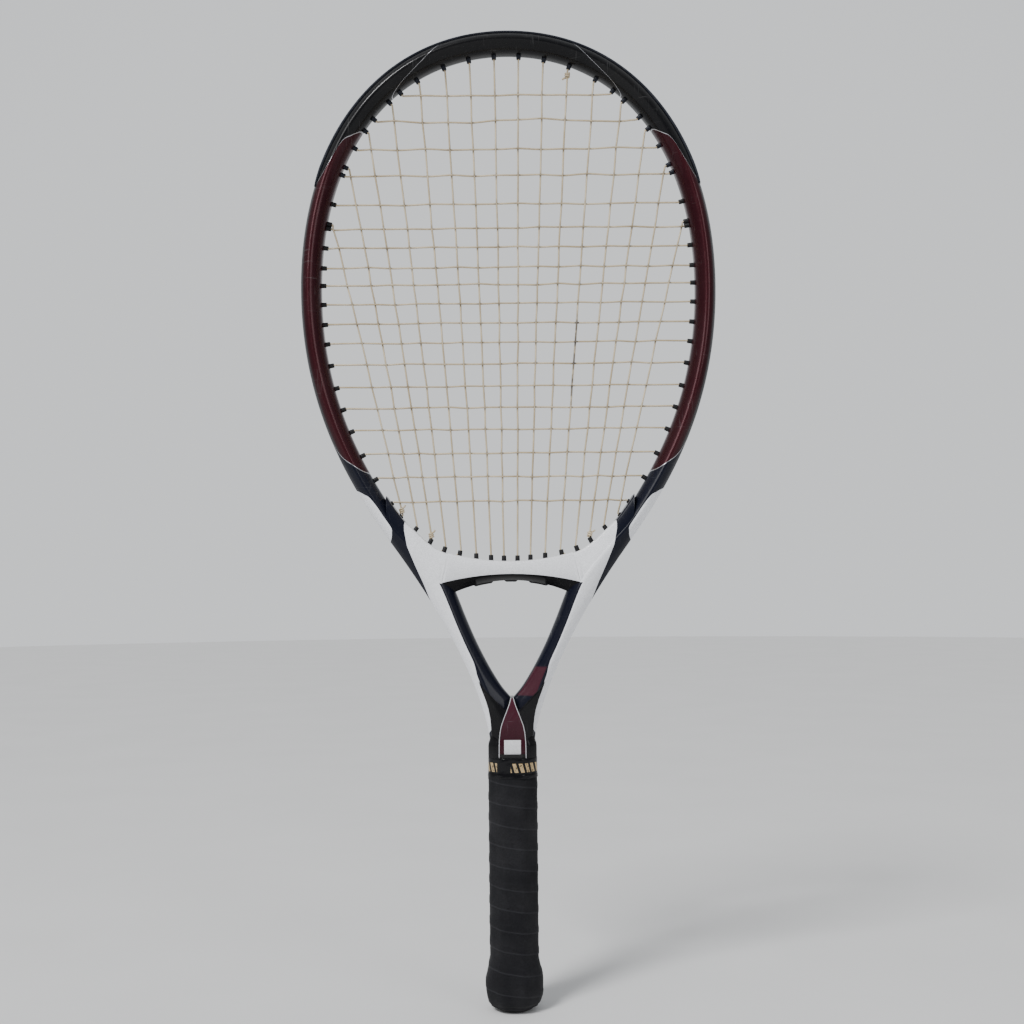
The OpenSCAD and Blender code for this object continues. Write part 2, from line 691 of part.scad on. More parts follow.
// A staple on the front or back face: a crown and two legs, or the slot that holds them
module staple(face, surface_y, z, gap) {
    for (x = [-1, 1])
        translate([x * (staple_w - staple_h) / 2, face * surface_y, z])
        rotate([face * 90, 0, 0])
        cylinder(d = staple_h * 0.6 + 2 * gap, h = staple_leg + staple_t + gap, $fn = 24);
    translate([0, face * (surface_y - staple_t / 2), z])
    cube([staple_w + 2 * gap, staple_t + 2 * gap, staple_h + 2 * gap], center = true);
}
cap_staple_z = (sleeve_z + cap_top_z) / 2;
cap_staple_y = pallet_d / 2 - staple_gap;
module cap_staples(gap) for (face = [-1, 1]) staple(face, cap_staple_y, cap_staple_z, gap);
grip_staple_y = pallet_d / 2 + cap_offset(grip_staple_z) + base_grip_t - 0.15;
module handle_pallet() {
    color("#2a2a2d")
    difference() {
        union() {
            handle_solid(0, sleeve_z, pallet_z);
            handle_solid(-sleeve_t, floor_z, sleeve_z);
        }
        core_prism(0, floor_z - 1, pallet_z + 1);
        cap_staples(staple_gap);
    }
}
module butt_cap() {
    color("#0e0e10")
    difference() {
        union() {
            loft([for (p = cap_profile) handle_ring(p[1], p[0])]);
            handle_solid(0, cap_top_z, sleeve_z);
        }
        handle_solid(-sleeve_t, floor_z, sleeve_z + 1);
        translate([0, 0, -1]) cylinder(d = door_d + 2 * door_gap, h = 1 + door_t + door_gap);
        translate([0, 0, -1]) cylinder(d = plug_d + 2 * door_gap, h = floor_z + 2);
        cap_staples(staple_gap);
        staple(-1, grip_staple_y, grip_staple_z, staple_gap);
    }
}
module butt_cap_staples() color("silver") cap_staples(0);
module grip_staple() color("silver") staple(-1, grip_staple_y, grip_staple_z, 0);
module trap_door() {
    color("#26262a")
    difference() {
        union() {
            cylinder(d = door_d, h = door_t);
            cylinder(d = plug_d, h = door_t + plug_h);
        }
        translate([0, 0, door_t]) cylinder(d = plug_d - 2 * door_wall, h = plug_h + 1);
        for (x = [-1, 1])
            translate([x * door_d * 0.36, 0, -1])
            cylinder(d = door_hole_d, h = 1 + door_t / 3, $fn = 24);
    }
}
module grip_sleeve(under, thick, z1) {
    zs = grip_heights(z1);
    sleeve(
        [for (z = zs) handle_ring(cap_offset(z) + under, z)],
        [for (z = zs) handle_ring(cap_offset(z) + under + thick, z)]
    );
}
module base_grip() {
    color("#1c1c1e")
    difference() {
        grip_sleeve(0, base_grip_t, grip_top_z);
        staple(-1, grip_staple_y, grip_staple_z, staple_gap);
    }
}
module overgrip() color("#232328") grip_sleeve(base_grip_t, overgrip_t, overgrip_z);
module finishing_tape() {
    color("#0a0a0b")
    sleeve(
        [for (z = [overgrip_z, grip_top_z]) handle_ring(base_grip_t, z)],
        [for (z = [overgrip_z, grip_top_z]) handle_ring(base_grip_t + tape_t, z)]
    );
}

frame();
bridge();
bumper_guard();
left_grommet_strip();
right_grommet_strip();
throat_grommet_strip();
main_string();
cross_string();
tie_off_knots();
handle_pallet();
butt_cap();
butt_cap_staples();
trap_door();
base_grip();
grip_staple();
overgrip();
finishing_tape();
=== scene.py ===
import math
import random

import bmesh
import bpy
from mathutils import Matrix, Vector
from mathutils.kdtree import KDTree


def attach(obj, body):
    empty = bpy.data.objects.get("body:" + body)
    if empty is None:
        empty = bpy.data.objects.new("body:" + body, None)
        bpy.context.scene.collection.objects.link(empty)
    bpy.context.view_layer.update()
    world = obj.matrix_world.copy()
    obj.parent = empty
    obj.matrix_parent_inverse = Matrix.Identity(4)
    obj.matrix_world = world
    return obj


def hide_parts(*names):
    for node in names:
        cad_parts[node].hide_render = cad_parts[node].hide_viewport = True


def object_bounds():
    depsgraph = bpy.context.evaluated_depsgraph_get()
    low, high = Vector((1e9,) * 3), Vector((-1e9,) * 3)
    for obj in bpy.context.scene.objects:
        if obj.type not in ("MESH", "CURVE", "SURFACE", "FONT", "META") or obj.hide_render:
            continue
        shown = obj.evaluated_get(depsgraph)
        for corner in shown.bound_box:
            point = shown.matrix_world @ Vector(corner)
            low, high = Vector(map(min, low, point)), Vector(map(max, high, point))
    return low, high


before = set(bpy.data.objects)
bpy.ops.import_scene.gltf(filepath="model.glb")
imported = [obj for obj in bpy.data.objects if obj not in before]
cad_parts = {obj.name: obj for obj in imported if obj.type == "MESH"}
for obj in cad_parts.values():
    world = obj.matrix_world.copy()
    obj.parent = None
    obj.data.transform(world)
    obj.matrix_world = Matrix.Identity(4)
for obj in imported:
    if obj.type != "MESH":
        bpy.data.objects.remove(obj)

# The tennis racket's visible pieces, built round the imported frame. Lengths are in millimetres until
# a piece is finished. Z runs from the butt to the top of the head and the front face looks along -Y.
cad_low, cad_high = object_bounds()
MM = 0.001

# ---------------------------------------------------------------- sizes
LENGTH = 685.8
HEAD_W = 290.6
# The tube: its width, its depth, how far in from the outside it is deepest, and its outer flat
TUBE_W = 14.0
BEAM = 25.0
RIDGE_IN = 6.5
OUTER_FLAT = 10.0
# Drops are measured down from the tube's top. The shoulder: half width, drop, lean in degrees
WIDEST_DROP = 179.6
SHOULDER = (80.0, 362.1, 35.5)
# The neck, where the arms end in the shaft: width, height, depth
NECK = (31.4, 188.0, 22.0)
# The throat bridge: its drop, and the arcs of its top, its front's lower edge and its underside
BRIDGE_DROP = 370.2
BRIDGE_T = 13.4
BRIDGE_FRONT_T = 9.0
BRIDGE_TOP_R = 160.0
BRIDGE_FRONT_R = 198.0
BRIDGE_LOW_R = 101.0
BRIDGE_D = 23.0
# How wide its front edges are rounded, and how far its ends are drawn in where they are hidden
BRIDGE_EDGE = 2.2
END_INSET = 0.16
# The strings, the groove outside the tube, and the grommet strips and guard that line it
STRING_D = 1.3
GROOVE_D = 2.5
GROOVE_W = 7.0
STRIP_T = 1.0
BARREL_D = 3.2
BARREL_OUT = 3.0
BUMPER_T = 1.2
BUMPER_DROP = 107.0
# The handle under the grips: width, depth, and how much its corners are cut
PALLET = (30.4, 27.0, 8.3)
GRIP_UNDER = 1.7
OVERGRIP_Z = 165.0
TAPE_TOP_Z = 177.0
FLARE = 3.1
FLOOR_Z = 12.0
# The trap door's flange and plug, and its clearance in the cap
DOOR_D = 19.0
DOOR_T = 2.0
PLUG_D = 14.0
PLUG_H = 8.0
PLUG_WALL = 1.2
DOOR_GAP = 0.2
# The door's two small holes for a tool
TOOL_HOLE_D = 1.6
TOOL_HOLE_DEEP = 0.8

HALF_W = TUBE_W / 2
RIDGE_N = HALF_W - RIDGE_IN
GROOVE_N = HALF_W - GROOVE_D
STRING_N = GROOVE_N + STRIP_T + STRING_D / 2 + 0.12
TIP_N = -HALF_W - BARREL_OUT
TUBE_TOP = LENGTH - BUMPER_T
BED_HALF = HEAD_W / 2 - TUBE_W - BARREL_OUT
BED_TOP = TUBE_TOP - TUBE_W - BARREL_OUT
BRIDGE_Z = TUBE_TOP - BRIDGE_DROP
THROAT_TOP = BRIDGE_Z - BRIDGE_T
BED_LENGTH = BED_TOP - BRIDGE_Z - BARREL_OUT
WEAVE_Y = (STRING_D + 0.02) / 2
LOOP_Y = 1.4
BRIDGE_MAINS = 3
SHOULDER_MAINS = 7
# The mains, counted from the middle, where the main string and the cross string are tied off
MAIN_TIE, CROSS_START_TIE, CROSS_END_TIE = 5, 2, 7

# Where the strings meet the hoop, as shares of the bed: the mains' ends out from the middle at the
# top and at the bottom, and the crosses down from the top
MAIN_TOP = [0.067, 0.203, 0.338, 0.481, 0.632, 0.763, 0.872, 0.966]
MAIN_LOW = [0.037, 0.108, 0.189, 0.278, 0.361, 0.437, 0.517, 0.595]
CROSS_DOWN = [
    0.070, 0.122, 0.179, 0.232, 0.290, 0.338, 0.377, 0.417, 0.452, 0.490,
    0.530, 0.569, 0.612, 0.657, 0.700, 0.744, 0.792, 0.840, 0.889,
]
SIDE_MAINS = len(MAIN_TOP)
MAINS = 2 * SIDE_MAINS
CROSSES = len(CROSS_DOWN)

# ---------------------------------------------------------------- the tube's curves


def bezier(p, u):
    return (1 - u) ** 3 * p[0] + 3 * (1 - u) ** 2 * u * p[1] + 3 * (1 - u) * u * u * p[2] + u ** 3 * p[3]


def bezier_slope(p, u):
    return (1 - u) ** 2 * (p[1] - p[0]) + 2 * (1 - u) * u * (p[2] - p[1]) + u * u * (p[3] - p[2])


def outline_spans():
    """The tube's outside from the top to the widest place, the shoulder and the neck: t from 0 to 3."""
    top = Vector((0, TUBE_TOP))
    widest = Vector((HEAD_W / 2, TUBE_TOP - WIDEST_DROP))
    shoulder = Vector((SHOULDER[0], TUBE_TOP - SHOULDER[1]))
    neck = Vector((NECK[0] / 2, NECK[1]))
    lean = math.radians(SHOULDER[2])
    along = Vector((-math.sin(lean), -math.cos(lean)))
    side = (widest - shoulder).length
    arm = (shoulder - neck).length
    return [
        [top, Vector((0.6 * widest.x, TUBE_TOP)), widest + Vector((0, 0.6 * WIDEST_DROP)), widest],
        [widest, widest - Vector((0, 0.45 * side)), shoulder - 0.25 * side * along, shoulder],
        [shoulder, shoulder + 0.65 * arm * along, neck + Vector((0, 0.05 * arm)), neck],
    ]


SPANS = outline_spans()


def outward(t):
    """The direction out of the hoop at t."""
    i = min(int(t), 2)
    h = bezier_slope(SPANS[i], t - i).normalized()
    return Vector((-h.y, h.x))


def tube_point(t, n, y):
    """A point t along the tube, n outwards from its centre line and y through its depth."""
    a = abs(t)
    i = min(int(a), 2)
    p = bezier(SPANS[i], a - i) + outward(a) * (n - HALF_W)
    return Vector((-p.x if t < 0 else p.x, y, p.y))


def lookup(x, pairs):
    """A value read off straight lines between the pairs."""
    if x <= pairs[0][0]:
        return pairs[0][1]
    for (x0, y0), (x1, y1) in zip(pairs, pairs[1:]):
        if x <= x1:
            return y0 + (y1 - y0) * (x - x0) / (x1 - x0)
    return pairs[-1][1]


def eased(x, low, high):
    """0 below low and 1 above high, with a smooth rise between."""
    u = min(1.0, max(0.0, (x - low) / (high - low)))
    return u * u * (3 - 2 * u)


# How far the tube's inside stands in, by the place along the tube
GUSSET = [(1.88, 0), (1.98, 2), (2.12, 6.5), (2.18, 4.2), (2.25, 1.5), (2.33, 0)]
WEB = [
    (2.38, 0), (2.43, 0.35), (2.482, 1.3), (2.535, 2.7), (2.59, 4.8),
    (2.62, 7.0), (2.66, 8.2), (2.72, 9.0), (2.85, 6.0), (3.0, 2.0),
]


def swell(t):
    """How far the tube's inner side and ridge stand in towards the lug's corner."""
    a = abs(t)
    return sum(lookup(a + d, GUSSET) for d in (-0.03, -0.015, 0, 0.015, 0.03)) / 5


def web(t):
    """How far the inner side alone runs in, where the two arms meet."""
    a = abs(t)
    return sum(lookup(a + d, WEB) for d in (-0.02, 0, 0.02)) / 3


def beam_share(t):
    """The tube's depth as a share of the beam, less towards the neck."""
    return 1 - (1 - (NECK[2] - 0.6) / BEAM) * eased(abs(t), 2, 3)


def find_t(value, axis, n, falling, low, high):
    """Where along the tube the point at n has the value on an axis."""
    for _ in range(30):
        mid = (low + high) / 2
        if (tube_point(mid, n, 0)[axis] > value) == falling:
            low = mid
        else:
            high = mid
    return mid


def exit_t(p, d, low, high):
    """Where a line from p in direction d leaves the tube's outside."""
    for _ in range(30):
        mid = (low + high) / 2
        e = tube_point(mid, HALF_W, 0)
        v = Vector((e.x, e.z)) - p
        if d.x * v.y - d.y * v.x > 0:
            low = mid
        else:
            high = mid
    return mid


def bridge_top(x):
    return BRIDGE_Z + BRIDGE_TOP_R - math.sqrt(BRIDGE_TOP_R ** 2 - x * x)


def bridge_low(x):
    return THROAT_TOP - BRIDGE_LOW_R + math.sqrt(BRIDGE_LOW_R ** 2 - x * x)


# ---------------------------------------------------------------- string holes: (tip, mouth, t)


def normal_hole(t):
    """A hole square to the tube."""
    return tube_point(t, TIP_N, 0), tube_point(t, GROOVE_N, 0), t


BLEND_LOW = Vector((51.0, bridge_top(51.0)))
BLEND_HIGH = tube_point(1.87, -HALF_W, 0).xz


def yoke_top(x):
    """The yoke's upper edge: the bridge's arc, and a straight run up to the hoop."""
    if x <= BLEND_LOW.x:
        return bridge_top(x)
    return BLEND_LOW.y + (x - BLEND_LOW.x) * (BLEND_HIGH.y - BLEND_LOW.y) / (BLEND_HIGH.x - BLEND_LOW.x)


def low_hole(i):
    """The hole at a main's lower end: through the bridge, out of the lug or square to the tube."""
    x = MAIN_LOW[i] * BED_HALF
    if i < BRIDGE_MAINS:
        return Vector((x, 0, bridge_top(x) + BARREL_OUT)), Vector((x, 0, bridge_low(x) + GROOVE_D)), 0.0
    if i < SHOULDER_MAINS:
        tip = Vector((x, yoke_top(x) + 0.8 * BARREL_OUT))
        t = exit_t(tip, outward(2), 1.6, 2.6)
        return Vector((tip.x, 0, tip.y)), tube_point(t, GROOVE_N, 0), t
    return normal_hole(find_t(x, 0, TIP_N, True, 1, 2.2))


RIGHT_TOP = [normal_hole(find_t(s * BED_HALF, 0, TIP_N, False, 0, 1)) for s in MAIN_TOP]
RIGHT_LOW = [low_hole(i) for i in range(SIDE_MAINS)]
RIGHT_CROSS = [normal_hole(find_t(BED_TOP - s * BED_LENGTH, 2, TIP_N, True, 0, 2)) for s in CROSS_DOWN]
BUMPER_END = find_t(TUBE_TOP - BUMPER_DROP, 2, HALF_W, True, 0, 2)
STRIP_END = math.ceil((RIGHT_LOW[BRIDGE_MAINS][2] + 0.04) * 14) / 14
RIGHT_HOLES = RIGHT_TOP + RIGHT_CROSS + RIGHT_LOW[BRIDGE_MAINS:]
HEAD_HOLES = [h for h in RIGHT_HOLES if h[2] < BUMPER_END]
SIDE_HOLES = [h for h in RIGHT_HOLES if h[2] > BUMPER_END]
THROAT_HOLES = RIGHT_LOW[:BRIDGE_MAINS]
THROAT_REACH = THROAT_HOLES[-1][0].x + 4


def mirror_x(p):
    return Vector((-p.x, p.y, p.z))


def mirrored(corners):
    """The corners (n, y, reach) on the other face, in the order that goes on round the outline."""
    return [(n, -y, *rest) for n, y, *rest in reversed(corners)]


def on_left(h):
    return mirror_x(h[0]), mirror_x(h[1]), -h[2]


# ---------------------------------------------------------------- mesh making


def rounded(points, reaches, cuts=3):
    """A closed outline whose corners are curves that begin a reach before each corner."""
    made = []
    count = len(points)
    for i, (at, reach) in enumerate(zip(points, reaches)):
        before, after = points[i - 1], points[(i + 1) % count]
        a = at + (before - at).normalized() * min(reach, 0.45 * (before - at).length)
        b = at + (after - at).normalized() * min(reach, 0.45 * (after - at).length)
        for k in range(cuts + 1):
            u = k / cuts
            made.append(a.lerp(at, u).lerp(at.lerp(b, u), u))
    return made


def outline_of(corners, cuts=3):
    """The rounded outline through corners (n, y, reach)."""
    return rounded([Vector(c[:2]) for c in corners], [c[2] for c in corners], cuts)


def spin_round(bm, points, centre, axis, steps):
    """Turns a profile of points all the way round an axis."""
    verts = [bm.verts.new(p) for p in points]
    edges = [bm.edges.new(pair) for pair in zip(verts, verts[1:])]
    turn = {"cent": centre, "axis": axis, "angle": 2 * math.pi, "steps": steps}
    bmesh.ops.spin(bm, geom=verts + edges, use_merge=True, **turn)


def skin(bm, rings, marks=None, material=0, hollow=False):
    """Bridges closed rings of points one after another. Marks are named values of each ring's points."""
    layers = {}
    for name in marks or {}:
        layers[name] = bm.verts.layers.float.get(name) or bm.verts.layers.float.new(name)
    old = set(bm.faces)
    loops = []
    for r, ring in enumerate(rings):
        verts = [bm.verts.new(p) for p in ring]
        for name, layer in layers.items():
            for vert, value in zip(verts, marks[name][r]):
                vert[layer] = value
        loops.append([bm.edges.new(pair) for pair in zip(verts, verts[1:] + verts[:1])])
    for a, b in zip(loops, loops[1:]):
        bmesh.ops.bridge_loops(bm, edges=a + b)
    if hollow:
        bmesh.ops.bridge_loops(bm, edges=loops[-1] + loops[0])
    else:
        for loop in (loops[0], loops[-1]):
            bmesh.ops.contextual_create(bm, geom=loop)
    faces = [f for f in bm.faces if f not in old]
    for face in faces:
        face.material_index = material
    return faces


def finish_piece(name, bm, materials, stands_for=(), body="racket", sharp=50):
    """Makes a racket piece from a bmesh in millimetres and puts it on its body."""
    bmesh.ops.recalc_face_normals(bm, faces=bm.faces)
    bmesh.ops.scale(bm, vec=(MM, MM, MM), verts=bm.verts)
    mesh = bpy.data.meshes.new(name)
    bm.to_mesh(mesh)
    bm.free()
    return finish_mesh(name, mesh, materials, stands_for, body, sharp)


def finish_mesh(name, mesh, materials, stands_for=(), body="racket", sharp=50):
    mesh.shade_smooth()
    mesh.set_sharp_from_angle(angle=math.radians(sharp))
    obj = bpy.data.objects.new(name, mesh)
    bpy.context.scene.collection.objects.link(obj)
    for material in materials:
        mesh.materials.append(material)
    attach(obj, body)
    if stands_for:
        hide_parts(*stands_for)
    return obj


# ---------------------------------------------------------------- materials


def put(tree, kind, inputs=None, **settings):
    """Adds one shader node, with its settings and its inputs as values or links."""
    made = tree.nodes.new("ShaderNode" + kind)
    for key, value in settings.items():
        setattr(made, key, value)
    for key, value in (inputs or {}).items():
        socket = made.inputs[key]
        if isinstance(value, bpy.types.NodeSocket):
            tree.links.new(value, socket)
        else:
            socket.default_value = value
    return made


def math_of(tree, operation, a, b=0.0, c=0.0):
    return put(tree, "Math", {0: a, 1: b, 2: c}, operation=operation).outputs[0]


def times(tree, a, b):
    return math_of(tree, "MULTIPLY", a, b)


def plus(tree, a, b):
    return math_of(tree, "ADD", a, b)


def ramp(tree, value, low, high, start=0.0, end=1.0):
    """A value that runs from start to end as another runs from low to high."""
    return put(tree, "MapRange", {0: value, 1: low, 2: high, 3: start, 4: end}).outputs[0]


def noise_of(tree, place, scale, detail):
    return put(tree, "TexNoise", {"Vector": place, "Scale": scale, "Detail": detail}).outputs[0]


def scaled(tree, vector, amount):
    return put(tree, "VectorMath", {0: vector, "Scale": amount}, operation="SCALE").outputs[0]


def between(tree, value, low, high, soft=0.02):
    """1 where the value lies between low and high, with soft ends."""
    rise = ramp(tree, value, low - soft, low + soft)
    fall = ramp(tree, value, high - soft, high + soft, 1.0, 0.0)
    return times(tree, rise, fall)


def over(tree, value, limit, soft=0.02):
    """1 where the value is past the limit, which may be a socket or a number."""
    low = math_of(tree, "SUBTRACT", limit, soft)
    high = plus(tree, limit, soft)
    return ramp(tree, value, low, high)


def paint(tree, mask, under, on_top):
    """One colour over another where the mask is 1."""
    return put(tree, "Mix", {0: mask, 6: under, 7: on_top}, data_type="RGBA").outputs[2]


def curve_of(tree, value, pairs, smooth=True):
    """A value read from a curve through the pairs."""
    x0, x1 = pairs[0][0], pairs[-1][0]
    ys = [y for _, y in pairs]
    y0, y1 = min(ys), max(ys)
    share = ramp(tree, value, x0, x1)
    node = put(tree, "FloatCurve", {1: share})
    points = node.mapping.curves[0].points
    scaled = [((x - x0) / (x1 - x0), (y - y0) / (y1 - y0)) for x, y in pairs]
    points[0].location, points[-1].location = scaled[0], scaled[-1]
    for place in scaled[1:-1]:
        points.new(*place)
    for point in points:
        point.handle_type = "AUTO_CLAMPED" if smooth else "VECTOR"
    node.mapping.update()
    return ramp(tree, node.outputs[0], 0.0, 1.0, y0, y1)


def new_group(name, takes, gives):
    """An empty effect group with named sockets: (name, kind, default)."""
    tree = bpy.data.node_groups.new(name, "ShaderNodeTree")
    for label, kind, start in takes:
        socket = tree.interface.new_socket(label, in_out="INPUT", socket_type="NodeSocket" + kind)
        if start is not None:
            socket.default_value = start
    for label, kind in gives:
        tree.interface.new_socket(label, in_out="OUTPUT", socket_type="NodeSocket" + kind)
    return tree, tree.nodes.new("NodeGroupInput").outputs, tree.nodes.new("NodeGroupOutput").inputs


def make_scuffs():
    """Fine straight scratches and dull rubbed patches."""
    tree, takes, gives = new_group(
        "scuffs",
        [("Vector", "Vector", None), ("Scale", "Float", 1.0), ("Amount", "Float", 0.5)],
        [("Scratches", "Float"), ("Rubbed", "Float")],
    )
    place = scaled(tree, takes["Vector"], takes["Scale"])
    lines = []
    for turn, stretch in ((0.5, (40.0, 40.0, 1400.0)), (-0.9, (1300.0, 40.0, 60.0))):
        way = {"Vector": place, "Rotation": (0.2, turn, 0.0), "Scale": stretch}
        turned = put(tree, "Mapping", way).outputs[0]
        lines.append(ramp(tree, noise_of(tree, turned, 1.0, 2.0), 0.66, 0.70))
    both = math_of(tree, "MAXIMUM", lines[0], lines[1])
    patches = noise_of(tree, place, 60.0, 4.0)
    rubbed = ramp(tree, patches, 0.48, 0.68)
    kept = times(tree, times(tree, both, rubbed), takes["Amount"])
    tree.links.new(kept, gives["Scratches"])
    tree.links.new(times(tree, rubbed, takes["Amount"]), gives["Rubbed"])
    return tree


def make_grain():
    """A pebbled moulding or leather grain: its height and its hollows."""
    tree, takes, gives = new_group(
        "grain",
        [("Vector", "Vector", None), ("Scale", "Float", 1500.0), ("Depth", "Float", 1.0)],
        [("Height", "Float"), ("Hollows", "Float")],
    )
    cells = put(tree, "TexVoronoi", {"Vector": takes["Vector"], "Scale": takes["Scale"]}).outputs["Distance"]
    fine = noise_of(tree, takes["Vector"], takes["Scale"], 3.0)
    height = times(tree, plus(tree, cells, times(tree, fine, 0.5)), takes["Depth"])
    tree.links.new(height, gives["Height"])
    tree.links.new(ramp(tree, cells, 0.35, 0.75), gives["Hollows"])
    return tree


def make_dust():
    """Settled dust and faint smears."""
    tree, takes, gives = new_group(
        "dust",
        [("Vector", "Vector", None), ("Scale", "Float", 1.0), ("Amount", "Float", 0.5)],
        [("Mask", "Float")],
    )
    place = scaled(tree, takes["Vector"], takes["Scale"])
    wide = put(tree, "TexNoise", {"Vector": place, "Scale": 22.0, "Detail": 5.0, "Roughness": 0.6}).outputs[0]
    specks = noise_of(tree, place, 900.0, 1.0)
    broad = ramp(tree, wide, 0.45, 0.75)
    dots = ramp(tree, specks, 0.60, 0.72)
    both = plus(tree, times(tree, broad, 0.5), times(tree, dots, 0.5))
    tree.links.new(times(tree, both, takes["Amount"]), gives["Mask"])
    return tree


def make_flakes():
    """Metallic flakes in lacquer, as a colour brightness and a roughness."""
    tree, takes, gives = new_group(
        "flakes",
        [("Vector", "Vector", None), ("Scale", "Float", 3500.0), ("Strength", "Float", 0.3)],
        [("Brightness", "Float"), ("Sparkle", "Float")],
    )
    cells = put(tree, "TexVoronoi", {"Vector": takes["Vector"], "Scale": takes["Scale"]}).outputs["Color"]
    grey = put(tree, "SeparateColor", {0: cells}).outputs[0]
    centred = math_of(tree, "SUBTRACT", grey, 0.5)
    bright = plus(tree, times(tree, centred, takes["Strength"]), 1.0)
    tree.links.new(bright, gives["Brightness"])
    tree.links.new(ramp(tree, grey, 0.9, 1.0), gives["Sparkle"])
    return tree


SCUFFS, GRAIN, DUST, FLAKES = make_scuffs(), make_grain(), make_dust(), make_flakes()

BLACK = (0.004, 0.004, 0.005, 1)
NAVY = (0.005, 0.006, 0.013, 1)
BURGUNDY = (0.042, 0.007, 0.011, 1)
SMOKE = (0.020, 0.018, 0.021, 1)
PEARL = (0.80, 0.81, 0.84, 1)
SILVER = (0.44, 0.44, 0.46, 1)
DUST_TONE = (0.36, 0.34, 0.30, 1)


class Finish:
    """A material with its Principled shader and the object's own coordinates."""

    def __init__(self, name, **values):
        self.material = bpy.data.materials.new(name)
        self.material.use_nodes = True
        self.tree = self.material.node_tree
        self.shader = self.tree.nodes["Principled BSDF"]
        for key, value in values.items():
            self.shader.inputs[key.replace("_", " ")].default_value = value
        self.place = put(self.tree, "TexCoord").outputs["Object"]
        self.axes = put(self.tree, "SeparateXYZ", {0: self.place}).outputs

    def group(self, tree, **values):
        node = self.tree.nodes.new("ShaderNodeGroup")
        node.node_tree = tree
        self.tree.links.new(self.place, node.inputs["Vector"])
        for key, value in values.items():
            node.inputs[key].default_value = value
        return node.outputs

    def noise(self, scale, detail):
        return noise_of(self.tree, self.place, scale, detail)

    def mark(self, name):
        """A value that the mesh's points carry."""
        return put(self.tree, "Attribute", attribute_name=name).outputs["Fac"]

    def join(self, socket, name):
        self.tree.links.new(socket, self.shader.inputs[name])

    def bump(self, height, distance, strength=1.0, under=None):
        inputs = {"Height": height, "Distance": distance, "Strength": strength}
        if under is not None:
            inputs["Normal"] = under
        return put(self.tree, "Bump", inputs).outputs[0]


def lacquer_finish(finish, colour, scuff=0.5):
    """Coats a colour with clear lacquer that has flakes, dust and light scratches."""
    tree = finish.tree
    flakes = finish.group(FLAKES, Scale=3800.0, Strength=0.35)
    scuffs = finish.group(SCUFFS, Scale=1.0, Amount=scuff)
    dust = finish.group(DUST, Scale=1.0, Amount=0.025)
    bright = scaled(tree, colour, flakes["Brightness"])
    dusty = paint(tree, dust["Mask"], bright, DUST_TONE)
    finish.join(paint(tree, times(tree, scuffs["Scratches"], 0.2), dusty, (0.4, 0.4, 0.4, 1)), "Base Color")
    rough = plus(tree, times(tree, scuffs["Rubbed"], 0.14), 0.24)
    finish.join(plus(tree, rough, times(tree, dust["Mask"], 0.5)), "Roughness")
    waves = finish.noise(420.0, 2.0)
    soft = finish.bump(waves, 0.00004, 0.5)
    finish.join(finish.bump(scuffs["Scratches"], 0.00002, 0.6, soft), "Normal")


# Where the frame's silver lines cross the tube: the place along it, by the place across it
GUARD_LINE = [(-7.0, 0.555), (-4.0, 0.585), (-1.0, 0.612), (1.2, 0.68), (3.5, 0.725), (7.0, 0.76)]
CROWN_LINE = [(-7.0, 0.405), (-5.0, 0.355), (-3.0, 0.300), (0.0, 0.246), (3.0, 0.215), (7.0, 0.18)]
SHOULDER_LINE = [(-7.0, 1.655), (-4.0, 1.637), (0.0, 1.600), (4.5, 1.552), (7.0, 1.49)]
LINE_HALF_W = (0.0018, 0.0016, 0.0026)
# How far out the pearl reaches on the yoke and the arms, by the height, in metres
PEARL_REACH = [
    (0.1880, 0.0900), (0.2830, 0.0900), (0.2838, 0.0552), (0.2900, 0.0576), (0.2992, 0.0611),
    (0.3112, 0.0664), (0.3252, 0.0720), (0.3365, 0.0740), (0.3400, 0.0740), (0.3440, 0.0732),
    (0.3452, 0.0700), (0.3456, 0.0200), (0.3460, -0.01), (0.7, -0.01),
]
# The place across the tube where the pearl starts on the arms, and the pearl lens on the shoulder
ARM_EDGE = [(2.05, 0.5), (2.40, 0.6), (2.48, 2.3), (2.60, 2.5), (2.73, 3.1), (2.86, 7.3)]
LENS_EDGE = [
    (1.685, 7.4), (1.72, 3.6), (1.757, 1.0), (1.828, 0.3), (1.894, 0.6), (1.925, 2.8), (1.955, 7.4),
]
# Painted highlight: how bright the burgundy is painted across the tube, brightest at the ridge where light
# catches it
WINE_RIDGE_HIGHLIGHT = [(-7.0, 0.25), (-2.0, 0.6), (0.5, 1.0), (3.5, 0.55), (7.0, 0.2)]
SHARP = 0.0008


def frame_pearl(finish, t, n, low_inside):
    """Where the frame is pearl: the yoke, the arms' outer faces and the shoulder's lens."""
    tree = finish.tree
    x, z = math_of(tree, "ABSOLUTE", finish.axes[0]), finish.axes[2]
    yoke = over(tree, curve_of(tree, z, PEARL_REACH, False), x, 0.0001)
    outside = math_of(tree, "GREATER_THAN", n, curve_of(tree, t, ARM_EDGE))
    dark = times(tree, low_inside, math_of(tree, "SUBTRACT", 1.0, outside))
    yoke = times(tree, yoke, math_of(tree, "SUBTRACT", 1.0, dark))
    lens = over(tree, n, curve_of(tree, t, LENS_EDGE), 0.12)
    return math_of(tree, "MAXIMUM", yoke, times(tree, between(tree, t, 1.686, 1.954, 0.0005), lens))


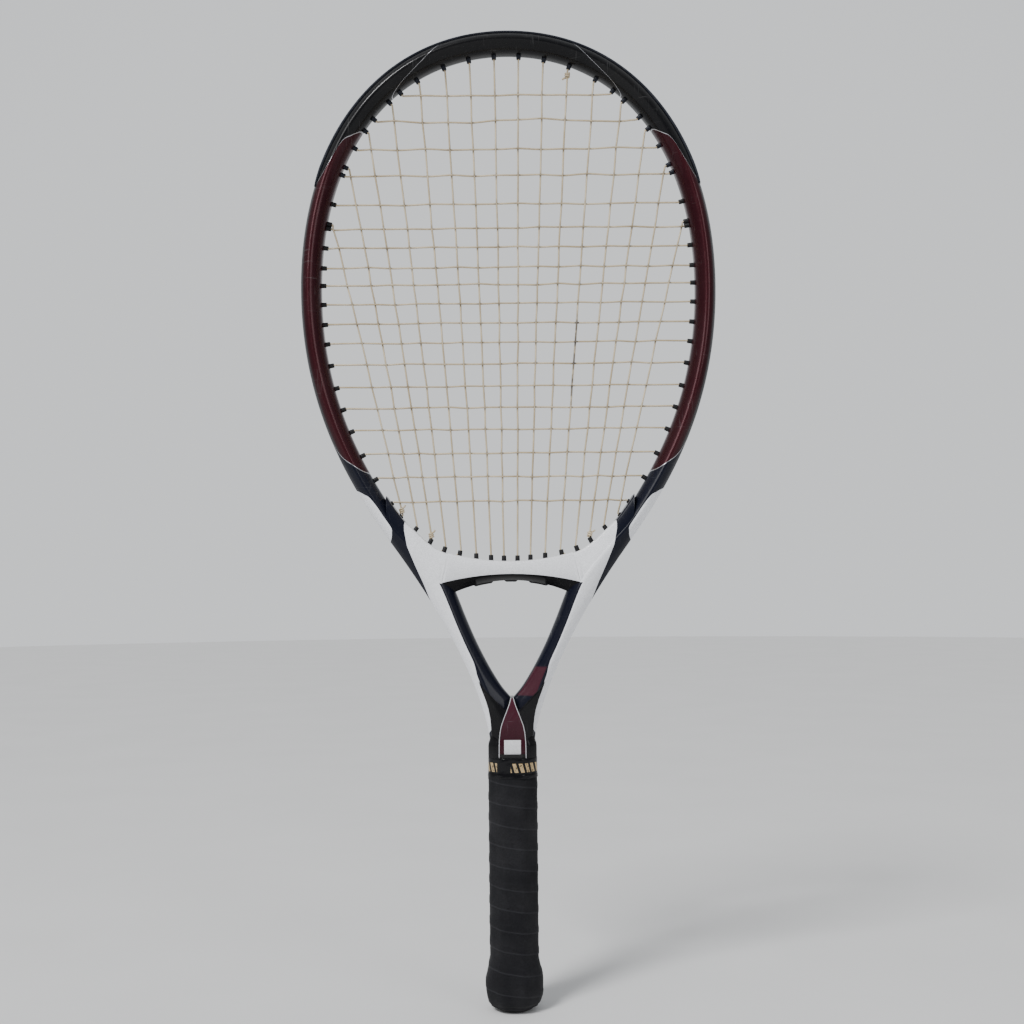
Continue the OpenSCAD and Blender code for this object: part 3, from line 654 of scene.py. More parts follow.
def make_frame_lacquer():
    """The hoop's and arms' colour zones, from the place along and across the tube."""
    finish = Finish("zoned_lacquer", Coat_Weight=0.14, Coat_Roughness=0.05, Specular_IOR_Level=0.12)
    tree = finish.tree
    t, n = finish.mark("along"), finish.mark("across")
    past, stripe = [], 0.0
    for line, half in zip((GUARD_LINE, CROWN_LINE, SHOULDER_LINE), LINE_HALF_W):
        past.append(math_of(tree, "SUBTRACT", t, curve_of(tree, n, line)))
        on_line = math_of(tree, "LESS_THAN", math_of(tree, "ABSOLUTE", past[-1]), half)
        stripe = math_of(tree, "MAXIMUM", stripe, on_line)
    side = times(tree, over(tree, past[0], 0.0, SHARP), math_of(tree, "LESS_THAN", past[2], 0.0))
    edge_grey = times(tree, over(tree, n, 4.9, 0.25), side)
    x, z = finish.axes[0], finish.axes[2]
    arms = math_of(tree, "GREATER_THAN", t, 2.085)
    low_inside = times(tree, arms, math_of(tree, "LESS_THAN", z, 0.2992))
    # the burgundy is painted brighter towards the ridge, a painted highlight
    wine = paint(tree, curve_of(tree, n, WINE_RIDGE_HIGHLIGHT), (0.020, 0.004, 0.007, 1), BURGUNDY)
    patch = times(tree, between(tree, z, 0.2205, 0.2405, 0.0006), math_of(tree, "GREATER_THAN", x, 0.0))
    patch = times(tree, patch, between(tree, n, -6.4, 0.3, 0.2))
    colour = paint(tree, side, BLACK, wine)
    colour = paint(tree, edge_grey, colour, SMOKE)
    colour = paint(tree, over(tree, past[2], 0.0, SHARP), colour, NAVY)
    colour = paint(tree, times(tree, patch, low_inside), colour, (0.050, 0.014, 0.022, 1))
    colour = paint(tree, stripe, colour, SILVER)
    colour = paint(tree, frame_pearl(finish, t, n, low_inside), colour, PEARL)
    lacquer_finish(finish, colour)
    metal = math_of(tree, "MAXIMUM", times(tree, side, 0.35), times(tree, stripe, 0.8))
    finish.join(metal, "Metallic")
    return finish.material


# The petal's half width on the shaft, by the height, in metres
PETAL_W = [
    (0.177, 0.0094), (0.191, 0.0090), (0.198, 0.0080), (0.204, 0.0061),
    (0.211, 0.0034), (0.2165, 0.0015), (0.2195, 0.0008),
]


def make_shaft_lacquer():
    """Black shaft with a burgundy petal between two silver lines and a plain pale square."""
    finish = Finish("shaft_lacquer", Coat_Weight=0.14, Coat_Roughness=0.05, Specular_IOR_Level=0.12)
    tree = finish.tree
    x = math_of(tree, "ABSOLUTE", finish.axes[0])
    z = finish.axes[2]
    away = math_of(tree, "SUBTRACT", x, curve_of(tree, z, PETAL_W))
    petal = math_of(tree, "LESS_THAN", away, 0.0)
    line = math_of(tree, "LESS_THAN", math_of(tree, "ABSOLUTE", away), 0.00026)
    line = times(tree, line, math_of(tree, "GREATER_THAN", z, 0.1765))
    square = between(tree, z, 0.1785, 0.1898, 0.0001)
    square = times(tree, math_of(tree, "LESS_THAN", x, 0.0058), square)
    fade = ramp(tree, z, 0.185, 0.217)
    wine = paint(tree, fade, (0.026, 0.003, 0.008, 1), (0.055, 0.012, 0.022, 1))
    face = math_of(tree, "GREATER_THAN", math_of(tree, "ABSOLUTE", finish.axes[1]), 0.0085)
    colour = paint(tree, times(tree, petal, face), BLACK, wine)
    colour = paint(tree, times(tree, line, face), colour, SILVER)
    colour = paint(tree, times(tree, square, face), colour, (0.60, 0.60, 0.62, 1))
    lacquer_finish(finish, colour, 0.7)
    return finish.material


def make_plain_lacquer(name, tone, coat, scuff):
    """One lacquer colour, a little deeper in places."""
    finish = Finish(name, Coat_Weight=coat, Coat_Roughness=0.08, Specular_IOR_Level=0.12)
    deeper = (*(0.93 * c for c in tone[:3]), 1)
    lacquer_finish(finish, paint(finish.tree, finish.noise(30.0, 4.0), deeper, tone), scuff)
    return finish.material


def make_nylon(name, tone, rubbed_tone, scuff, sheen):
    """Satin moulded nylon with a fine grain, rubbed paler where it meets the court."""
    finish = Finish(name, Specular_IOR_Level=0.45 * sheen)
    tree = finish.tree
    grain = finish.group(GRAIN, Scale=2600.0, Depth=0.6)
    scuffs = finish.group(SCUFFS, Scale=1.6, Amount=scuff)
    dust = finish.group(DUST, Scale=1.5, Amount=0.04)
    colour = paint(tree, scuffs["Rubbed"], tone, rubbed_tone)
    colour = paint(tree, times(tree, scuffs["Scratches"], 0.5), colour, (0.12, 0.12, 0.13, 1))
    finish.join(paint(tree, dust["Mask"], colour, DUST_TONE), "Base Color")
    finish.join(plus(tree, times(tree, scuffs["Rubbed"], 0.15), 0.47), "Roughness")
    low = finish.bump(grain["Height"], 0.00003, 0.5)
    finish.join(finish.bump(scuffs["Scratches"], 0.00006, 0.8, low), "Normal")
    return finish.material


def make_string_finish():
    """Tan multifilament string, darker in spots near each crossing and darkened where the ball lands."""
    finish = Finish(
        "string_fibre", Subsurface_Weight=0.08, Subsurface_Radius=(0.0006, 0.0004, 0.0002),
        Coat_Weight=0.15, Coat_Roughness=0.3,
    )
    tree = finish.tree
    fibres = finish.noise(5200.0, 2.0)
    broad = finish.noise(38.0, 3.0)
    tan = paint(tree, ramp(tree, broad, 0.35, 0.65), (0.44, 0.35, 0.22, 1), (0.60, 0.51, 0.36, 1))
    tan = paint(tree, ramp(tree, fibres, 0.45, 0.7, 0.0, 0.35), tan, (0.30, 0.22, 0.12, 1))
    # the string is coloured darker and rougher in spots near each crossing
    crossing = finish.mark("grime")
    spots = ramp(tree, finish.noise(300.0, 2.0), 0.35, 0.6)
    crossing_dark = times(tree, times(tree, crossing, spots), 0.6)
    tan = paint(tree, crossing_dark, tan, (0.10, 0.075, 0.05, 1))
    # a dark worn stretch of one main, which leans a little
    run = plus(tree, times(tree, finish.axes[2], -0.0788), -0.0102)
    near = math_of(tree, "ABSOLUTE", plus(tree, finish.axes[0], run))
    worn = between(tree, finish.axes[2], 0.424, 0.487, 0.006)
    worn = times(tree, math_of(tree, "LESS_THAN", near, 0.0014), worn)
    breaks = ramp(tree, finish.noise(160.0, 2.0), 0.36, 0.5)
    worn = times(tree, times(tree, worn, breaks), 0.8)
    finish.join(paint(tree, worn, tan, (0.05, 0.04, 0.035, 1)), "Base Color")
    finish.join(plus(tree, times(tree, crossing, 0.2), 0.38), "Roughness")
    finish.join(finish.bump(fibres, 0.00004, 0.6), "Normal")
    return finish.material


def make_overgrip_finish():
    """Dark charcoal overgrip: matt, finely perforated and polished where a hand sits, with a painted
    highlight along each lap's edge.
    """
    finish = Finish("overgrip_felt", Sheen_Weight=0.04, Sheen_Roughness=0.5, Specular_IOR_Level=0.16)
    tree = finish.tree
    grain = finish.group(GRAIN, Scale=2100.0, Depth=1.0)
    dust = finish.group(DUST, Scale=2.0, Amount=0.07)
    broad = ramp(tree, finish.noise(45.0, 4.0), 0.35, 0.7)
    colour = paint(tree, broad, (0.0075, 0.0075, 0.0095, 1), (0.0135, 0.0135, 0.0165, 1))
    colour = paint(tree, grain["Hollows"], colour, (0.004, 0.004, 0.005, 1))
    # painted highlight: a lighter line along each lap's raised edge, where light catches the step
    edge = finish.mark("edge")
    colour = paint(tree, times(tree, edge, 0.5), colour, (0.040, 0.040, 0.046, 1))
    finish.join(paint(tree, dust["Mask"], colour, (0.12, 0.115, 0.11, 1)), "Base Color")
    finish.join(ramp(tree, broad, 0.0, 1.0, 0.86, 0.66), "Roughness")
    soft = finish.bump(finish.noise(160.0, 3.0), 0.0003, 0.35)
    finish.join(finish.bump(grain["Height"], 0.00012, 0.7, soft), "Normal")
    return finish.material


def make_tape_finish():
    """Glossy black tape with a row of plain slanted gold bars round its middle."""
    finish = Finish("finishing_tape_gloss", Coat_Weight=0.15, Coat_Roughness=0.12, Specular_IOR_Level=0.15)
    tree = finish.tree
    z, around = finish.axes[2], finish.mark("around")
    slant = plus(tree, around, times(tree, z, 18.0))
    wave = math_of(tree, "FRACT", times(tree, slant, 3.6))
    bars = times(tree, between(tree, wave, 0.16, 0.74, 0.02), between(tree, z, 0.1677, 0.1739, 0.0001))
    plain = between(tree, around, 3.99, 4.62, 0.01)
    bars = times(tree, bars, math_of(tree, "SUBTRACT", 1.0, plain))
    worn = ramp(tree, finish.noise(700.0, 4.0), 0.35, 0.45)
    gold = times(tree, bars, worn)
    scuffs = finish.group(SCUFFS, Scale=2.0, Amount=0.6)
    colour = paint(tree, gold, (0.003, 0.003, 0.004, 1), (0.50, 0.37, 0.20, 1))
    finish.join(paint(tree, times(tree, scuffs["Scratches"], 0.25), colour, (0.1, 0.1, 0.1, 1)), "Base Color")
    finish.join(times(tree, gold, 0.5), "Metallic")
    finish.join(plus(tree, times(tree, scuffs["Rubbed"], 0.25), 0.2), "Roughness")
    finish.join(finish.bump(finish.noise(210.0, 3.0), 0.0002, 0.4), "Normal")
    return finish.material


def make_steel():
    """Dull steel wire, unevenly worn."""
    finish = Finish("staple_wire", Metallic=1.0)
    grey = ramp(finish.tree, finish.noise(900.0, 4.0), 0.3, 0.7, 0.35, 0.62)
    finish.join(grey, "Base Color")
    finish.join(math_of(finish.tree, "SUBTRACT", 0.8, grey), "Roughness")
    finish.join(finish.bump(finish.noise(2500.0, 3.0), 0.00002), "Normal")
    return finish.material


ZONED = make_frame_lacquer()
SHAFT = make_shaft_lacquer()
BRIDGE = make_plain_lacquer("bridge_lacquer", PEARL, 0.3, 0.35)
UNDERSIDE = make_plain_lacquer("bridge_underside_black", BLACK, 0.02, 0.2)
GUARD = make_nylon("guard_nylon", (0.006, 0.008, 0.015, 1), (0.018, 0.020, 0.030, 1), 0.8, 0.5)
GROMMET = make_nylon("grommet_nylon", (0.009, 0.009, 0.010, 1), (0.020, 0.020, 0.022, 1), 0.3, 0.45)
CAP = make_nylon("cap_plastic", (0.012, 0.012, 0.014, 1), (0.035, 0.035, 0.037, 1), 0.7, 0.4)
DOOR = make_nylon("door_plastic", (0.016, 0.016, 0.018, 1), (0.040, 0.040, 0.042, 1), 0.6, 0.4)
FOAM = make_nylon("pallet_skin", (0.014, 0.014, 0.015, 1), (0.022, 0.022, 0.023, 1), 0.4, 0.3)
UNDER_GRIP = make_nylon("base_grip_leather", (0.013, 0.013, 0.014, 1), (0.03, 0.03, 0.031, 1), 0.5, 0.3)
STRING = make_string_finish()
OVERGRIP = make_overgrip_finish()
TAPE = make_tape_finish()
STEEL = make_steel()

# ---------------------------------------------------------------- camera, light and floor


def make_stage():
    """The camera, the pale floor, a soft sky, a sun and two lamps."""
    scene = bpy.context.scene
    camera = bpy.data.objects.new("camera", bpy.data.cameras.new("camera"))
    scene.collection.objects.link(camera)
    camera.data.lens = 45.0
    camera.data.sensor_width = 36.0
    camera.data.shift_y = 0.068
    camera.location = (0.0007, -0.901, 0.300)
    camera.rotation_euler = (math.radians(90), math.radians(0.53), 0)
    scene.camera = camera
    bm = bmesh.new()
    bmesh.ops.create_circle(bm, cap_ends=True, radius=6.0, segments=96)
    mesh = bpy.data.meshes.new("floor")
    bm.to_mesh(mesh)
    bm.free()
    floor = bpy.data.objects.new("floor", mesh)
    floor.location.z = cad_low.z - 0.0005
    scene.collection.objects.link(floor)
    ground = Finish("pale_floor", Roughness=0.9, Specular_IOR_Level=0.1)
    tone = ramp(ground.tree, ground.noise(6.0, 5.0), 0.0, 1.0, 0.62, 0.68)
    ground.join(tone, "Base Color")
    mesh.materials.append(ground.material)
    world = bpy.data.worlds.new("soft_daylight")
    scene.world = world
    world.use_nodes = True
    tree = world.node_tree
    way = put(tree, "SeparateXYZ", {0: put(tree, "TexCoord").outputs["Generated"]}).outputs
    back = ramp(tree, way[1], -0.1, 0.9)
    up = ramp(tree, way[2], 0.1, 0.9)
    bright = math_of(tree, "MAXIMUM", back, times(tree, up, 0.6))
    sky = paint(tree, bright, (0.22, 0.23, 0.24, 1), (0.86, 0.88, 0.90, 1))
    tree.links.new(sky, tree.nodes["Background"].inputs[0])
    sun = bpy.data.objects.new("sun", bpy.data.lights.new("sun", "SUN"))
    sun.data.energy = 2.4
    sun.data.angle = math.radians(14)
    sun.rotation_euler = (math.radians(42), 0, math.radians(-38))
    scene.collection.objects.link(sun)
    for name, place, size, power in (
        ("key", (-1.3, -1.6, 1.6), 1.1, 22.0),
        ("fill", (1.7, -1.7, 1.1), 1.1, 12.0),
    ):
        data = bpy.data.lights.new(name, "AREA")
        data.size = size
        data.energy = power
        light = bpy.data.objects.new(name, data)
        light.location = place
        aim = Vector((0, 0, 0.36)) - light.location
        light.rotation_euler = aim.to_track_quat("-Z", "Y").to_euler()
        scene.collection.objects.link(light)


make_stage()

# ---------------------------------------------------------------- frame


def frame_section(t):
    """The tube's rounded section at t: its points as (n, y), and how far across each one lies."""
    k = beam_share(t)
    ridge = RIDGE_N - swell(t)
    inner = -HALF_W - swell(t) - web(t)
    groove = GROOVE_D * (1 - eased(abs(t), 2.35, 2.5)) + 0.02
    half = [
        (HALF_W - groove, 0.01 - GROOVE_W / 2, 0.3), (HALF_W, -GROOVE_W / 2, 0.35),
        (HALF_W, -OUTER_FLAT / 2, 1.4), (HALF_W - 0.37 * (HALF_W - ridge), -0.385 * BEAM * k, 3.0),
        (ridge, -0.5 * BEAM * k, 1.9), (ridge - 0.63 * (ridge - inner), -0.36 * BEAM * k, 3.0),
        (inner, -0.16 * BEAM * k, 2.4),
    ]
    outline = outline_of(half + mirrored(half))
    across = []
    for p in outline:
        if p.x > ridge:
            across.append(HALF_W - RIDGE_IN * (HALF_W - p.x) / (HALF_W - ridge))
        else:
            across.append(-HALF_W + (RIDGE_N + HALF_W) * (p.x - inner) / (ridge - inner))
    return outline, across


def octagon(half_x, half_y, cut, z, reach, cuts=3):
    """An eight-sided ring with rounded corners, at the height z."""
    corners = [
        (half_x, cut - half_y), (half_x, half_y - cut), (half_x - cut, half_y), (cut - half_x, half_y),
        (-half_x, half_y - cut), (-half_x, cut - half_y), (cut - half_x, -half_y), (half_x - cut, -half_y),
    ]
    return [Vector((p.x, p.y, z)) for p in rounded([Vector(c) for c in corners], [reach] * 8, cuts)]


def front_low(x):
    """The front lower edge of the bridge's white face, above its slanted underside."""
    return BRIDGE_Z - BRIDGE_FRONT_T - BRIDGE_FRONT_R + math.sqrt(BRIDGE_FRONT_R ** 2 - x * x)


def yoke_ring(top, front, low, depth, edge, under):
    """A ring through the yoke: upper edge, the front face's lower edge and the underside's inner edge."""
    way = (front - top).normalized()
    d = depth / 2
    shape = [(-d + edge, top), (-d + 0.3 * edge, top + way * (0.3 * edge)), (-d, top + way * edge)]
    shape += [(-d, front - way * 0.2), (-d + 0.15, front), (-GROOVE_W / 2 - 1.0, low)]
    whole = shape + [(-y, p) for y, p in reversed(shape)]
    marks = [0.0] * 4 + [under] * 4 + [0.0] * 4
    return [Vector((p.x, y, p.y)) for y, p in whole], marks


def add_tube(bm):
    """The hoop and both arms, as one tube."""
    rings, along, across = [], [], []
    steps = 168
    for k in range(-steps, steps + 1):
        t = 3 * k / steps
        outline, places = frame_section(t)
        rings.append([tube_point(t, p.x, p.y) for p in outline])
        along.append([abs(t)] * len(outline))
        across.append(places)
    skin(bm, rings, {"along": along, "across": across})


# The lugs' upper edge, the front face's lower edge and the underside's inner edge, as (x, z)
LUG_UPPER = [
    (43.5, 319.7), (47.4, 321.2), (52.6, 323.9), (59.8, 329.3),
    (67.4, 336.6), (73.8, 342.6), (80.5, 351.5), (86.5, 360.5),
]
LUG_FRONT = [
    (48.4, 299.4), (50.6, 298.9), (54.4, 303.9), (59.0, 309.5),
    (65.2, 317.0), (72.2, 325.0), (79.2, 333.0), (86.0, 341.0),
]
LUG_LOWER = [
    (47.0, 289.3), (52.0, 291.0), (57.0, 297.0), (62.0, 303.0),
    (68.0, 311.0), (75.0, 320.0), (82.0, 330.0), (88.0, 338.0),
]


def add_lugs(bm):
    """The lugs that join the arms to the bridge."""
    for side in (1, -1):
        rings = []
        for i in range(29):
            points = [smooth_at(edge, i / 4) for edge in (LUG_UPPER, LUG_FRONT, LUG_LOWER)]
            inset = END_INSET if i == 0 else 0.0
            ring = yoke_ring(*points, BRIDGE_D - inset, BRIDGE_EDGE + inset, 0.0)[0]
            rings.append([Vector((side * p.x, p.y, p.z)) for p in ring])
        along = [[2.0] * len(ring) for ring in rings]
        across = [[-7.0] * len(ring) for ring in rings]
        skin(bm, rings, {"along": along, "across": across})


def add_collar(bm):
    """The shaft's collar under the tape."""
    w, d = NECK[0] / 2 + 0.15, NECK[2] / 2
    stack = [
        (w + 1.15, d + 0.5, TAPE_TOP_Z + 0.1), (w + 1.15, d + 0.5, NECK[1] - 2.5),
        (w + 0.9, d + 0.4, NECK[1] - 0.8), (w + 0.2, d + 0.1, NECK[1] + 0.8),
        (w, d, NECK[1] + 2.0), (w - 0.5, d - 0.1, 196.0), (w - 2.0, d - 0.6, 200.0),
    ]
    skin(bm, [octagon(a, b, 5.0, z, 1.4) for a, b, z in stack], material=1)


# Half of the plate's outline, from the shaft up the arm and back down to the tongue's tip, as (x, z)
PLATE_HALF = [
    (10.0, 190.0), (14.6, 193.0), (14.9, 200.0), (15.4, 205.0), (16.5, 211.0), (18.4, 217.5),
    (20.9, 224.0), (23.2, 230.6), (19.9, 226.4), (16.5, 222.6), (11.5, 217.2), (7.4, 213.0),
    (5.2, 210.9), (4.3, 211.2), (3.4, 213.6), (2.4, 216.4), (1.2, 218.9),
]


def add_plate(bm):
    """The flat plate that joins the arms, with the narrow tongue that ends in the throat."""
    outline = [Vector(p) for p in PLATE_HALF] + [Vector((-x, z)) for x, z in reversed(PLATE_HALF)]
    rings = []
    levels = [(0.0, 0.55), (0.16, 0.16), (0.55, 0.0)]
    for face, order in ((-1, levels), (1, levels[::-1])):
        for back, by in order:
            edge = moved_in(outline, by)
            rings.append([Vector((p.x, face * (plate_depth(p.y) - back), p.y)) for p in edge])
    skin(bm, rings, material=1)


def build_frame():
    """The lacquered frame: the hoop with both arms, the lugs, the collar and the plate."""
    bm = bmesh.new()
    add_tube(bm)
    add_lugs(bm)
    add_collar(bm)
    add_plate(bm)
    return finish_piece("frame_shell", bm, [ZONED, SHAFT], ["frame"], sharp=40)


def plate_depth(z):
    """How far the plate's faces stand from the middle, a little more between the arms."""
    return NECK[2] / 2 + 0.35 * eased(z, 205, 230)


def moved_in(outline, by):
    """The closed outline moved inwards."""
    made = []
    for i, p in enumerate(outline):
        a = (p - outline[i - 1]).normalized()
        b = (outline[(i + 1) % len(outline)] - p).normalized()
        side = Vector((-a.y - b.y, a.x + b.x))
        made.append(p + side * (by / max(0.35, side.length_squared / 2)))
    return made


def smooth_at(points, u):
    """A point at u on a smooth curve through the points."""
    i = min(int(u), len(points) - 2)
    f = u - i
    p = [Vector(points[max(0, min(len(points) - 1, i + d))]) for d in (-1, 0, 1, 2)]
    bend = 2 * p[0] - 5 * p[1] + 4 * p[2] - p[3]
    return 0.5 * (2 * p[1] + (p[2] - p[0]) * f + bend * f * f + (3 * p[1] - p[0] - 3 * p[2] + p[3]) * f ** 3)


def build_bridge():
    """The throat's bridge: its front and back faces, and the underside with the string groove."""
    bm = bmesh.new()
    rings, marks = [], []
    steps = 40
    for i in range(-steps, steps + 1):
        s = i / steps
        top_x, front_x, low_x = 43.3 * s, 48.2 * s, 46.8 * s
        top = Vector((top_x, bridge_top(top_x)))
        low = Vector((low_x, bridge_low(low_x)))
        inset = END_INSET if abs(i) == steps else 0.0
        groove = GROOVE_D * (1 - eased(abs(low_x), THROAT_REACH + 1, THROAT_REACH + 4)) + 0.02
        front = Vector((front_x, front_low(front_x)))
        ring, under = yoke_ring(top, front, low, BRIDGE_D - inset, BRIDGE_EDGE + inset, 1.0)
        way = (low - top).normalized()
        middle = len(ring) // 2
        floor = [
            Vector((low.x - way.x * h, y, low.y - way.y * h))
            for y, h in ((-3.6, 0.0), (-3.55, groove), (3.55, groove), (3.6, 0.0))
        ]
        rings.append(ring[:middle] + floor + ring[middle:])
        marks.append(under[:middle] + [1.0] * 4 + under[middle:])
    faces = skin(bm, rings, {"under": marks})
    under = bm.verts.layers.float["under"]
    for face in faces:
        if all(vert[under] > 0.5 for vert in face.verts) and len(face.verts) == 4:
            face.material_index = 1
    return finish_piece("throat_bridge", bm, [BRIDGE, UNDERSIDE], ["bridge"], sharp=40)


# ---------------------------------------------------------------- guard and grommets


# Which barrels bend at the yoke's ends, by the place of the tip, and how long the bent end is
BENT_X = (30, 75)
BENT_Z = 345
BENT_L = 4.2


def add_barrels(bm, holes, out=0.0):
    """Turns one grommet barrel round each hole, with a rounded rim and its bore."""
    for tip, mouth, _ in holes:
        stand = out
        if BENT_X[0] < abs(tip.x) < BENT_X[1] and tip.z < BENT_Z:
            tilt = math.radians(10 + 0.85 * (abs(tip.x) - 35))
            axis = Vector((math.copysign(math.sin(tilt), -tip.x), 0, math.cos(tilt)))
            base = tip - axis * BENT_L
            turn_barrel(bm, mouth, base, 0.5, False)
            mouth, stand = base, out + 1.2
        turn_barrel(bm, mouth, tip, stand, True)


def turn_barrel(bm, mouth, tip, out, rim):
    """One barrel from its mouth to past its tip, with or without the rim and the bore."""
    axis = (tip - mouth).normalized()
    side = axis.orthogonal().normalized()
    reach = (tip - mouth).length + out
    r, bore = BARREL_D / 2, STRING_D / 2 + 0.22
    profile = [
        (r + 0.15, 0.0), (r + 0.1, max(0.4, reach - 4.2)), (r, reach - 0.35), (r - 0.12, reach - 0.08),
        (r - 0.35, reach), (bore + 0.12, reach - 0.05), (bore, reach - 0.4), (bore, reach - 3.0),
    ]
    if not rim:
        profile = profile[:5]
    spin_round(bm, [mouth + side * a + axis * h for a, h in profile], mouth, axis, 16)


def both_sides(holes):
    return list(holes) + [on_left(h) for h in holes]


def channel(bm, low, high, outline, count, taper=0.0):
    """Sweeps a closed outline of (n, y) along the tube, thinner over the taper at both ends."""
    rings = []
    for k in range(count + 1):
        t = low + (high - low) * k / count
        end = min(1.0, min(t - low, high - t) / taper) if taper else 1.0
        part = 0.72 + 0.28 * end ** 0.5
        ring = []
        for p in outline:
            n = GROOVE_N + (p.x - GROOVE_N) * part if p.x > HALF_W else p.x
            ring.append(tube_point(t, n, p.y))
        rings.append(ring)
    skin(bm, rings)


def build_bumper():
    """The guard round the hoop's top, with the head's grommet barrels."""
    strip = GROOVE_W / 2 - 0.1
    flank_n, flank_y = HALF_W - 0.37 * RIDGE_IN, 0.385 * BEAM
    knee_n = HALF_W + 0.6 * (flank_n - HALF_W) + 0.02
    knee_y = OUTER_FLAT / 2 + 0.6 * (flank_y - OUTER_FLAT / 2) + 0.02
    inner = [
        (GROOVE_N, strip, 0.1), (HALF_W, strip + 0.09, 0.1), (HALF_W + 0.02, OUTER_FLAT / 2, 0.5),
        (knee_n, knee_y, 0.1),
    ]
    outer = [
        (knee_n + 0.75 * BUMPER_T, knee_y + 0.5 * BUMPER_T, 0.5),
        (HALF_W + BUMPER_T, OUTER_FLAT / 2 + 0.4, 1.0), (HALF_W + BUMPER_T, strip + 0.3, 0.5),
        (HALF_W + 0.5 * BUMPER_T, strip - 0.6, 0.4), (GROOVE_N + STRIP_T, strip - 0.75, 0.1),
    ]
    outline = outline_of(inner + outer + mirrored(inner + outer), 2)
    bm = bmesh.new()
    channel(bm, -BUMPER_END, BUMPER_END, outline, 150, 0.05)
    add_barrels(bm, both_sides(HEAD_HOLES))
    return finish_piece("bumper_band", bm, [GUARD], ["bumper_guard"], sharp=35)


def build_side_strip(side, name, node):
    """The grommet strip in one side's groove, with its barrels."""
    y = GROOVE_W / 2 - 0.15
    half = [
        (GROOVE_N, -y, 0.1), (HALF_W - 0.15, -y, 0.1), (HALF_W - 0.15, 0.55 - y, 0.2),
        (GROOVE_N + STRIP_T, 0.6 - y, 0.2),
    ]
    outline = outline_of(half + mirrored(half), 1)
    bm = bmesh.new()
    ends = sorted((side * (BUMPER_END + 0.012), side * STRIP_END))
    channel(bm, ends[0], ends[1], outline, 90)
    add_barrels(bm, [h if side > 0 else on_left(h) for h in SIDE_HOLES], 0.3)
    return finish_piece(name, bm, [GROMMET], [node], sharp=35)


def build_throat_strip():
    """The strip under the bridge, with three humps that cover the string's loops."""
    bm = bmesh.new()
    rings = []
    humps = [(-28.0, -10.5), (-6.6, 6.6), (10.5, 28.0)]
    for i in range(81):
        x = THROAT_REACH * (i / 40 - 1)
        rise = max(eased(x, a, a + 3.5) * (1 - eased(x, b - 3.5, b)) for a, b in humps)
        z = bridge_low(x) + GROOVE_D
        low = z - STRIP_T - (GROOVE_D - STRIP_T + 1.1) * rise
        y = GROOVE_W / 2 - 0.12
        half = [(-y, z), (-y, low + 0.7), (-y + 0.25, low + 0.2), (-y + 0.9, low)]
        rings.append([Vector((x, a, b)) for a, b in half + [(-a, b) for a, b in reversed(half)]])
    skin(bm, rings)
    add_barrels(bm, both_sides(THROAT_HOLES), 1.0)
    return finish_piece("throat_strip", bm, [GROMMET], ["throat_grommet_strip"], sharp=35)


# ---------------------------------------------------------------- strings


def inside_of(h):
    """A point on the string just inside a hole's tip."""
    return h[0] - (h[1] - h[0]).normalized() * 0.9


def outside_of(h):
    """A point on the string in the outer groove, past a hole's mouth."""
    return h[1] + (h[1] - h[0]).normalized() * (STRING_N - GROOVE_N)


def side_index(m):
    """The main's number from the middle outwards, the same on both sides."""
    return SIDE_MAINS - 1 - m if m < SIDE_MAINS else m - SIDE_MAINS


def main_hole(m, holes):
    h = holes[side_index(m)]
    return on_left(h) if m < SIDE_MAINS else h


def main_at(m, z):
    """The main's x at the height z."""
    a, b = inside_of(main_hole(m, RIGHT_LOW)), inside_of(main_hole(m, RIGHT_TOP))
    return a.x + (b.x - a.x) * (z - a.z) / (b.z - a.z)


def crossings():
    """Where each main meets each cross, with the small shifts of a string bed in use."""
    draw = random.Random(11)
    places = {}
    for j in range(CROSSES):
        z = inside_of(RIGHT_CROSS[j]).z
        wave = [draw.uniform(-0.45, 0.45) for _ in range(MAINS)]
        for m in range(MAINS):
            low, high = main_hole(m, RIGHT_LOW)[0].z, main_hole(m, RIGHT_TOP)[0].z
            if low + 1 < z < high - 1:
                lift = wave[m] + (1.3 * math.sin(m * 0.9) if j == 1 else 0.0)
                y = WEAVE_Y if (m + j) % 2 == 0 else -WEAVE_Y
                places[m, j] = Vector((main_at(m, z) + draw.uniform(-0.3, 0.3), y, z + lift))
    return places


def woven(points, steps=5):
    """Adds the smooth rise and fall of a string between the strings that it crosses."""
    made = []
    for a, b in zip(points, points[1:]):
        for k in range(steps):
            u = k / steps
            p = a.lerp(b, u)
            p.y = a.y + (b.y - a.y) * (1 - math.cos(math.pi * u)) / 2
            made.append(p)
    return made + [points[-1]]


def turned(before, at, after, reach=0.9):
    """A rounded corner of a string's path."""
    a = at + (before - at).normalized() * reach
    b = at + (after - at).normalized() * reach
    return [a.lerp(at, u).lerp(at.lerp(b, u), u) for u in (0, 0.33, 0.67, 1)]


def groove_loop(ta, tb, y):
    """The string's way along the outer groove from one hole to another."""
    loop = []
    for k in range(1, 10):
        u = k / 10
        loop.append(tube_point(ta + u * (tb - ta), STRING_N, y * min(1.0, 4 * min(u, 1 - u) + 0.25)))
    return loop


def groove_tail(ta, tb, stops):
    """A string's end in the groove, at the stops from one place along the tube towards another."""
    return [tube_point(ta + u * (tb - ta), STRING_N, -LOOP_Y) for u in stops]


def throat_loop(xa, xb):
    """The string's way below the bridge from one hole to another."""
    loop = []
    for u in (0.2, 0.4, 0.6, 0.8):
        x = xa + (xb - xa) * u
        loop.append(Vector((x, LOOP_Y, bridge_low(abs(x)) + GROOVE_D - (STRING_N - GROOVE_N))))
    return loop


def with_turns(first, run, last):
    """A string's run between two mouths, with a rounded turn into the loop at each end."""
    made = list(run)
    if first:
        made[:1] = turned(first[-1], run[0], run[1])
    if last:
        made[-1:] = turned(run[-2], run[-1], last[0])
    return made


